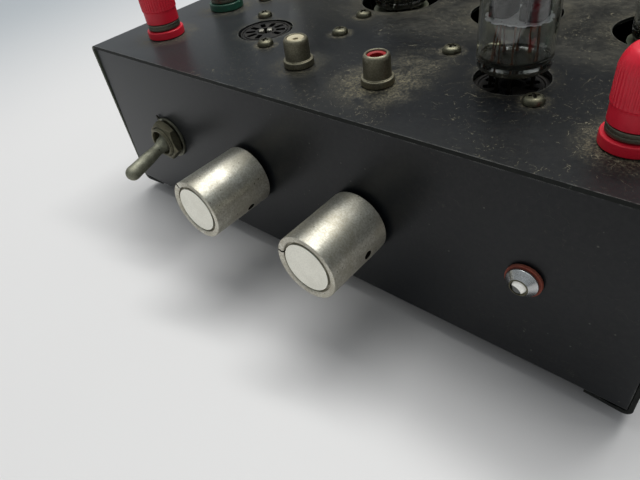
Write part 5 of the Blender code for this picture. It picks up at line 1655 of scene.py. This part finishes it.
def make_driver_socket(side):
    """Noval socket: moulded body under the plate, nine slots with their contacts, and a centre shield."""
    spot = middle(f"driver_socket_{side}")
    at_plate = (spot.x, spot.y, TOP_Z)
    top, shoulder, floor = -0.0003 if side == "left" else -0.0020, -0.0021, -0.0100
    socket = spun(
        "socket",
        [
            (0, top),
            (0.0084, top, 0.0001),
            (0.0086, top - 0.0004),
            (0.0090, top - 0.0004),
            (0.0092, top, 0.0001),
            (0.0098, top, 0.0002),
            (0.0098, shoulder - 0.0003),
            (0.0115, shoulder - 0.0003, 0.0003),
            (0.0115, floor, 0.0005),
            (0, floor),
        ],
        96,
    )
    slot = block("slot", (-0.0019, -0.00100, -0.0068), (0.0019, 0.00100, 0.002))
    smoothed(slot, 0.0005)
    slots = ring_of("slots", slot, PLASTIC["bakelite"])
    key = spun("key", [(0, 0.002), (0.0031, 0.002), (0.0031, -0.006), (0, -0.006)], 32)
    cut(socket, slots, key)
    smoothed(painted(socket, PLASTIC["bakelite"]), 0.00008)
    ear = block("ear", (-0.0195, -0.0040, -0.0027), (0.0195, 0.0040, -0.0015))
    smoothed(ear, 0.0003)
    placed(painted(ear, METAL["plated"]), (0, 0, 0), (0, 0, math.radians(-45)))
    cut(ear, spun("clear", [(0, 0.002), (0.0112, 0.002), (0.0112, -0.01), (0, -0.01)], 64))
    fork = block("fork", (-0.0011, 0.00045, -0.0060), (0.0011, 0.00075, -0.0030))
    other = block("other", (-0.0011, -0.00075, -0.0060), (0.0011, -0.00045, -0.0030))
    fork = joined("fork", [fork, other])
    forks = ring_of("forks", fork, METAL["dark"])
    tag = block("tag", (-0.00025, -0.0008, floor - 0.004), (0.00025, 0.0008, floor + 0.0003))
    tags = ring_of("tags", tag, METAL["nickel"])
    lip = 0.0003 if side == "left" else -0.0034
    halves = []
    for sign in (-1, 1):
        inner, outer = sorted((sign * 0.0005, sign * 0.0027))
        halves.append(block("half", (inner, -0.0014, -0.0060), (outer, 0.0014, lip)))
    # The right socket's shield takes the blackened finish, the left one's the plated finish: painted shade
    # under the tube.
    shield = smoothed(
        painted(joined("shield", halves), METAL["plated" if side == "left" else "dark"]), 0.0006
    )
    placed(shield, (0, 0, 0), (0, 0, math.radians(40)))
    whole = joined(f"driver_socket_{side}_dress", [socket, ear, forks, tags, shield])
    placed(whole, at_plate)
    done(whole, "chassis", [f"driver_socket_{side}"])


# Tubes


def tube_outline(radius, height, wall):
    """Outer and inner lines of a tube's glass: pip, dome, straight side, foot and pressed button."""

    def dome(reach, low, high):
        return arc(PIP_SHOULDER, reach - PIP_SHOULDER, low, high - low)

    pip = [(0, height), (0.0007, height - 0.0003), (0.0012, height - 0.0012), (0.0017, height - 0.0026)]
    outer = pip + dome(radius, height - 0.0090, height - 0.0036) + [
        (radius, 0.0024), (radius - 0.0004, 0.0010), (radius - 0.0016, 0.0002), (radius - 0.0028, 0.0),
        (0, 0.0)
    ]
    bore = radius - wall
    inner = [(0, 0.0024), (0.0070, 0.0024), (0.0079, 0.0030), (bore - 0.0004, 0.0042), (bore, 0.0052)]
    inner += list(reversed(dome(bore, height - 0.0090, height - 0.0046))) + [(0, height - 0.0046)]
    return outer + inner


def make_tube(name, body, slot_nodes, seat, height, plate_low, plate_high, flat_plates, seed):
    """A small all-glass tube: envelope, getter mirror, pins, bent leads, micas, plates and getter ring."""
    chance = random.Random(seed)
    radius, wall = 0.0102, 0.0009
    glass = spun(f"{name}_glass", tube_outline(radius, height, wall), 72)
    smoothed(painted(glass, GLASS), angle=math.radians(60))
    second_finish(glass, FOOT_GLASS, lambda face: face.center.z < 0.0029)
    placed(glass, seat)
    done(glass, body, slot_nodes)

    bore = radius - wall - 0.00012
    curve = arc(PIP_SHOULDER, bore - PIP_SHOULDER, height - 0.0090, 0.0042)
    lower = [(bore, height - 0.0090 - 0.0012 * i) for i in range(1, 9)]
    shell = [(0, height - 0.0048)] + curve + lower
    mirror = spun(f"{name}_getter_mirror", shell, 64)
    smoothed(painted(mirror, MIRROR))
    placed(mirror, seat)
    done(mirror, body)

    pin = spun(
        "pin", [(0, 0.0012), (0.0005, 0.0012), (0.0005, -0.0066, 0.0003), (0.0002, -0.0070), (0, -0.0070)],
        12
    )
    smoothed(pin)
    # The pins take the blackened finish: painted shade under the glass.
    pins = ring_of("pins", pin, METAL["dark"])

    builder = bmesh.new()
    for i in range(PIN_COUNT):
        angle = i * FULL_TURN / PIN_PLACES
        foot = Vector((PIN_CIRCLE * math.cos(angle), PIN_CIRCLE * math.sin(angle), 0.0010))
        drift = angle + chance.uniform(-0.12, 0.12)
        reach = chance.uniform(0.0044, 0.0066)
        head = Vector((reach * math.cos(drift), reach * math.sin(drift), plate_low + 0.0003))
        knee = foot.lerp(head, 0.55) + Vector(
            (chance.uniform(-0.0004, 0.0004), chance.uniform(-0.0004, 0.0004), 0)
        )
        wire(builder, [foot, foot + Vector((0, 0, 0.0030)), knee, head], 0.00024)
    bmesh.ops.recalc_face_normals(builder, faces=builder.faces)
    leads = object_from("leads", builder)
    smoothed(painted(leads, METAL["lead"]))

    collars = spun("collar", [(0, 0.0040), (0.00035, 0.0038, 0.0002), (0.0006, 0.0023), (0, 0.0020)], 16)
    smoothed(collars)
    beads = ring_of("beads", collars, METAL["lead"])

    mica_points = MICA_TEETH * 8
    micas = []
    for level in (plate_low, plate_high):
        rings = []
        for inner, z in ((0.0002, 0.0003), (1.0, 0.0003), (1.0, 0.0), (0.0002, 0.0)):
            ring = []
            for j in range(mica_points):
                angle = j * FULL_TURN / mica_points
                edge = MICA_RADIUS - (0.0006 if j % 8 in (0, 1, 2) else 0.0)
                squeeze = 0.80 + 0.20 * abs(math.cos(angle)) ** 0.5
                reach = edge * squeeze * inner
                ring.append(Vector((reach * math.cos(angle), reach * math.sin(angle), level + z)))
            rings.append(ring)
        micas.append(smoothed(painted(lofted("mica", rings, True), MICA)))

    stack = plate_high - plate_low
    plates = []
    for sign in (-1, 1) if not flat_plates else (0,):
        half_x, half_y = (0.0031, 0.0046) if not flat_plates else (0.0068, 0.0048)
        rings = []
        levels = [plate_low + 0.0004, plate_low + 0.0012]
        for r in range(PLATE_RIBS):
            centre = plate_low + stack * (r + 1) / (PLATE_RIBS + 1)
            levels += [centre - 0.0009, centre - 0.0004, centre + 0.0004, centre + 0.0009]
        levels += [plate_high - 0.0010, plate_high - 0.0002]
        levels = sorted(levels, reverse=True)
        for n, level in enumerate(levels):
            pressed = 0.90 if (n - 2) % 4 in (1, 2) and 2 <= n < len(levels) - 2 else 1.0
            ring = []
            for j in range(48):
                angle = j * FULL_TURN / 48
                c, s = math.cos(angle), math.sin(angle)
                power = 0.55
                x = half_x * pressed * math.copysign(abs(c) ** power, c)
                y = half_y * pressed * math.copysign(abs(s) ** power, s)
                ring.append(Vector((x + sign * PLATE_SPREAD, y, level)))
            rings.append(ring)
        rings.insert(0, [Vector((sign * PLATE_SPREAD, 0, levels[0]))] * 48)
        rings.append([Vector((sign * PLATE_SPREAD, 0, levels[-1]))] * 48)
        plates.append(smoothed(painted(lofted("plate", rings, False), METAL["anode"])))
        for edge in (-1, 1):
            fin = block(
                "fin",
                (sign * PLATE_SPREAD - 0.0002, edge * (half_y + 0.0004) - 0.0009, plate_low + 0.0005),
                (sign * PLATE_SPREAD + 0.0002, edge * (half_y + 0.0004) + 0.0009, plate_high - 0.0003)
            )
            plates.append(smoothed(painted(fin, METAL["anode"]), 0.0001))

    builder = bmesh.new()
    ring_level = plate_high + 0.0042
    loop = [
        Vector((0.0040 * math.cos(a), 0.0040 * math.sin(a), ring_level))
        for a in (i * FULL_TURN / 24 for i in range(24))
    ]
    wire(builder, loop, 0.00035)
    wire(builder, [Vector((0.0040, 0, plate_high - 0.0005)), Vector((0.0040, 0, ring_level))], 0.00028)
    for x, y in ((x, y) for y in (0.0, 0.0022, -0.0022) for x in (-PLATE_SPREAD, PLATE_SPREAD)):
        wire(builder, [Vector((x, y, plate_high - 0.0005)), Vector((x, y, plate_high + 0.0016))], 0.00030)
        wire(builder, [Vector((x, y, plate_low - 0.0014)), Vector((x, y, plate_low + 0.0009))], 0.00030)
    bmesh.ops.recalc_face_normals(builder, faces=builder.faces)
    getter = object_from("getter", builder)
    smoothed(painted(getter, METAL["nickel"]))

    mount = joined(f"{name}_mount", [pins, leads, beads, *micas, *plates, getter])
    placed(mount, seat)
    return mount


def make_tubes():
    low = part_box("driver_tube_glass")[0]
    spot = middle("driver_tube_glass")
    mount = make_tube(
        "driver_tube_dress", "driver_tube", ["driver_tube_glass"], (spot.x, spot.y, low.z), 0.049, 0.0140,
        0.0345, False, 11
    )
    done(mount, "driver_tube", ["driver_tube_mount"])
    for i in range(1, 5):
        spot = middle(f"power_tube_{i}")
        seat = (spot.x, spot.y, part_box(f"power_tube_{i}")[1].z - 0.060)
        mount = make_tube(
            f"power_tube_{i}_dress", f"power_tube_{i}", [f"power_tube_{i}"], seat, 0.060, 0.0105, 0.0430,
            True, 20 + i
        )
        done(mount, f"power_tube_{i}")


# Transformers


def make_transformer(name, stack_depth, seed):
    """Laminated core with pressed end bells, lips along front and back, and their bolts."""
    low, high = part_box(name)
    centre = (low + high) / 2
    half_x = (high.x - low.x) / 2
    half_y = stack_depth / 2
    bottom, top = low.z, high.z
    middle_z = (bottom + top) / 2
    pitch = 0.0005
    count = int(stack_depth / pitch)
    inset = 0.0002
    sheet = block(
        "sheet", (-half_x + inset, 0.00003, 0), (half_x - inset, pitch - 0.00003, top - bottom - inset)
    )
    core = grown(
        point_cloud("core", [(0, 0, 0)]), LAMINATIONS, Sheet=sheet, Count=count, Pitch=pitch, Shift=0.00009,
        Seed=seed, Finish=STEEL["laminations"]
    )
    bpy.data.objects.remove(sheet, do_unlink=True)
    placed(core, (centre.x, centre.y - half_y, bottom + 0.0001))
    parts = [core]
    for sign in (-1, 1):
        rings = []
        for step, (push, shrink) in enumerate(BELL_STEPS):
            wide, tall = half_x - 0.0004 - shrink, (top - bottom) / 2 - 0.0004 - shrink
            corner = 0.0012 + 0.35 * shrink + 0.0010 * min(step, 3)
            ring = []
            for quarter in range(4):
                for j in range(7):
                    angle = quarter * QUARTER_TURN + j / 6 * QUARTER_TURN
                    cx = (wide - corner) * (1 if quarter in (0, 3) else -1)
                    cz = (tall - corner) * (1 if quarter in (0, 1) else -1)
                    ring.append(
                        Vector(
                            (
                                centre.x + cx + corner * math.cos(angle), centre.y + sign * (half_y + push),
                                middle_z + cz + corner * math.sin(angle)
                            )
                        )
                    )
            rings.append(ring)
        rings.insert(0, [Vector((centre.x, centre.y + sign * half_y, middle_z))] * 28)
        rings.append([Vector((centre.x, centre.y + sign * (half_y + BELL_DEPTH), middle_z))] * 28)
        parts.append(smoothed(painted(lofted("bell", rings, False), STEEL["bell"])))
        near, far = sorted((sign * half_y, sign * (half_y + 0.0070)))
        lip = block(
            "lip",
            (low.x + 0.0002, centre.y + near, bottom),
            (high.x - 0.0002, centre.y + far, bottom + 0.0015),
        )
        parts.append(smoothed(painted(lip, STEEL["bell"]), 0.0003))
    bolt = hex_nut("bolt", 0.0055, 0.0020, 0.0004)
    smoothed(bolt, 0.0001)
    feet = [
        (centre.x + sx * (half_x - 0.0035), centre.y + sy * (half_y + 0.0035), bottom + 0.0014)
        for sx in (-1, 1) for sy in (-1, 1)
    ]
    parts.append(set_out("bolts", bolt, feet, METAL["screw"], [0.2, 0.9, 0.5, 0.1]))
    face_y = centre.y - half_y - 0.0007
    bolt_x, bolt_z = half_x - 0.0032, (top - bottom) / 2 - 0.0032
    ways = (("face_screws", face_y, QUARTER_TURN), ("rear_screws", 2 * centre.y - face_y, -QUARTER_TURN))
    for label, y, turn in ways:
        screw = spun("screw", [(0, 0.0016), (0.0018, 0.0014, 0.0004), (0.0024, 0.0, 0.0001), (0, 0.0)], 24)
        placed(smoothed(screw), (0, 0, 0), (turn, 0, 0))
        spots = [(centre.x + sx * bolt_x, y, middle_z + sz * bolt_z) for sx in (-1, 1) for sz in (-1, 1)]
        parts.append(set_out(label, screw, spots, METAL["screw"]))
    whole = joined(f"{name}_dress", parts)
    done(whole, "chassis", [name])


# Finishes kept by the name of what they cover

METAL = {
    "knob": turned_metal(
        "satin_knob", (0.68, 0.665, 0.59, 1), (0.37, 0.34, 0.26, 1), 0.40, 12000.0, 0.6, 110.0, 1.0, 0.06,
        0.25, 0.7, 0.8
    ),
    "face": turned_metal(
        "matte_face", (0.90, 0.89, 0.80, 1), (0.76, 0.75, 0.67, 1), 0.44, 6000.0, 0.4, 160.0, 0.04, 0.0
    ),
    "nickel": turned_metal(
        "dull_nickel", (0.275, 0.258, 0.188, 1), (0.125, 0.116, 0.080, 1), 0.40, 8000.0, 0.55, 150.0, 0.10,
        0.22, 0.0, 0.6
    ),
    "washer": turned_metal(
        "washer_nickel", (0.20, 0.20, 0.155, 1), (0.12, 0.122, 0.09, 1), 0.42, 7000.0, 0.5, 160.0, 0.06,
        0.15
    ),
    "screw": turned_metal(
        "tarnished_screw", (0.175, 0.17, 0.12, 1), (0.080, 0.076, 0.050, 1), 0.33, 7000.0, 0.8, 420.0, 0.08,
        0.12
    ),
    "brass": turned_metal(
        "olive_brass", (0.19, 0.18, 0.125, 1), (0.09, 0.085, 0.058, 1), 0.46, 7000.0, 0.7, 300.0, 0.08, 0.10
    ),
    "lever": turned_metal(
        "worn_lever", (0.32, 0.32, 0.25, 1), (0.15, 0.152, 0.112, 1), 0.55, 9000.0, 0.8, 260.0, 0.5, 0.15,
        0.25, 0.85
    ),
    "plated": turned_metal(
        "plated_steel", (0.36, 0.35, 0.31, 1), (0.20, 0.19, 0.15, 1), 0.40, 7000.0, 0.5, 200.0, 0.06, 0.15
    ),
    # Blackened steel; also serves as painted shade in recesses, on the tube pins and on the right socket's
    # shield.
    "dark": turned_metal(
        "blackened_steel_and_painted_shade", (0.030, 0.028, 0.022, 1), (0.015, 0.014, 0.010, 1), 0.50, 7000.0, 0.5, 300.0,
        0.06, 0.05
    ),
    "chrome": turned_metal(
        "worn_chrome", (0.60, 0.61, 0.62, 1), (0.36, 0.36, 0.35, 1), 0.17, 16000.0, 0.4, 320.0, 0.22, 0.05,
        0.0, 0.15
    ),
    "lead": turned_metal(
        "copper_leads", (0.20, 0.09, 0.055, 1), (0.08, 0.05, 0.036, 1), 0.42, 7000.0, 0.7, 500.0, 0.03, 0.0
    ),
    "anode": turned_metal(
        "grey_anode", (0.075, 0.075, 0.080, 1), (0.040, 0.040, 0.042, 1), 0.50, 5000.0, 0.5, 300.0, 0.06,
        0.0
    ),
}
PLASTIC = {
    "red": moulded_plastic(
        "red_moulding", (0.80, 0.010, 0.036, 1), (0.58, 0.006, 0.024, 1), 0.40, 0.0, 0.05
    ),
    "green": moulded_plastic(
        "green_moulding", (0.012, 0.11, 0.065, 1), (0.008, 0.06, 0.04, 1), 0.38, 0.20, 0.20
    ),
    "white": moulded_plastic(
        "cream_insert", (0.60, 0.55, 0.39, 1), (0.42, 0.35, 0.20, 1), 0.50, 0.0, 0.20, 0.6
    ),
    "red_insert": moulded_plastic(
        "red_insert", (0.33, 0.005, 0.008, 1), (0.22, 0.004, 0.006, 1), 0.5, 0.0, 0.03, 0.35, 0.08, 0.3
    ),
    "bakelite": moulded_plastic(
        "dusty_bakelite", (0.0050, 0.0050, 0.0055, 1), (0.010, 0.010, 0.0095, 1), 0.55, 0.0, 0.08, 0.35,
        0.08, 0.22
    ),
    "switch": moulded_plastic(
        "switch_moulding", (0.055, 0.030, 0.022, 1), (0.035, 0.020, 0.016, 1), 0.45, 0.0, 0.3
    ),
    "inlet": moulded_plastic(
        "inlet_moulding", (0.022, 0.022, 0.023, 1), (0.035, 0.035, 0.035, 1), 0.46, 0.0, 0.25
    ),
}
STEEL = {
    "bell": charcoal_paint("bell_enamel", [], (QUARTER_TURN, 0, 0), 0.4),
    "laminations": turned_metal(
        "varnished_laminations", (0.10, 0.085, 0.065, 1), (0.045, 0.036, 0.028, 1), 0.42, 3000.0, 0.7,
        240.0, 0.10, 0.35
    ),
}
GLASS = clear_glass("tube_glass", (0.87, 0.89, 0.865, 1), 0.015)
FOOT_GLASS = pressed_glass()
EDGE = bare_edge("bare_sheet_edge")
MIRROR = getter_mirror()
MICA = mica_sheet()
BOARD = solder_mask()


make_camera()
make_table()
make_world()
for lamp in LAMPS:
    make_lamp(*lamp)
make_cover()
make_tray()
make_feet()
make_toggle()
for side, pointer, screw_angle in zip(SIDES, (-40, -77), (119, 99)):
    make_knob(side, math.radians(pointer), math.radians(screw_angle))
make_pilot_lamp()
for side in SIDES:
    make_jack(side)
    make_driver_socket(side)
for post in POSTS:
    red = post.endswith("front")
    make_post(post, PLASTIC["red" if red else "green"])
make_plate_screws()
make_tubes()
make_transformer("mains_transformer", 0.032, 1)
make_transformer("output_transformer_left", 0.026, 2)
make_transformer("output_transformer_right", 0.026, 3)
for side in SIDES:
    painted(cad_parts[f"pot_{side}"], METAL["plated"])
    painted(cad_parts[f"pot_nut_{side}"], METAL["nickel"])
    painted(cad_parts[f"pot_shaft_{side}"], METAL["plated"])
painted(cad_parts["power_board"], BOARD)
painted(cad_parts["mains_inlet"], PLASTIC["inlet"])

view = bpy.context.scene.view_settings
view.view_transform = "Standard"
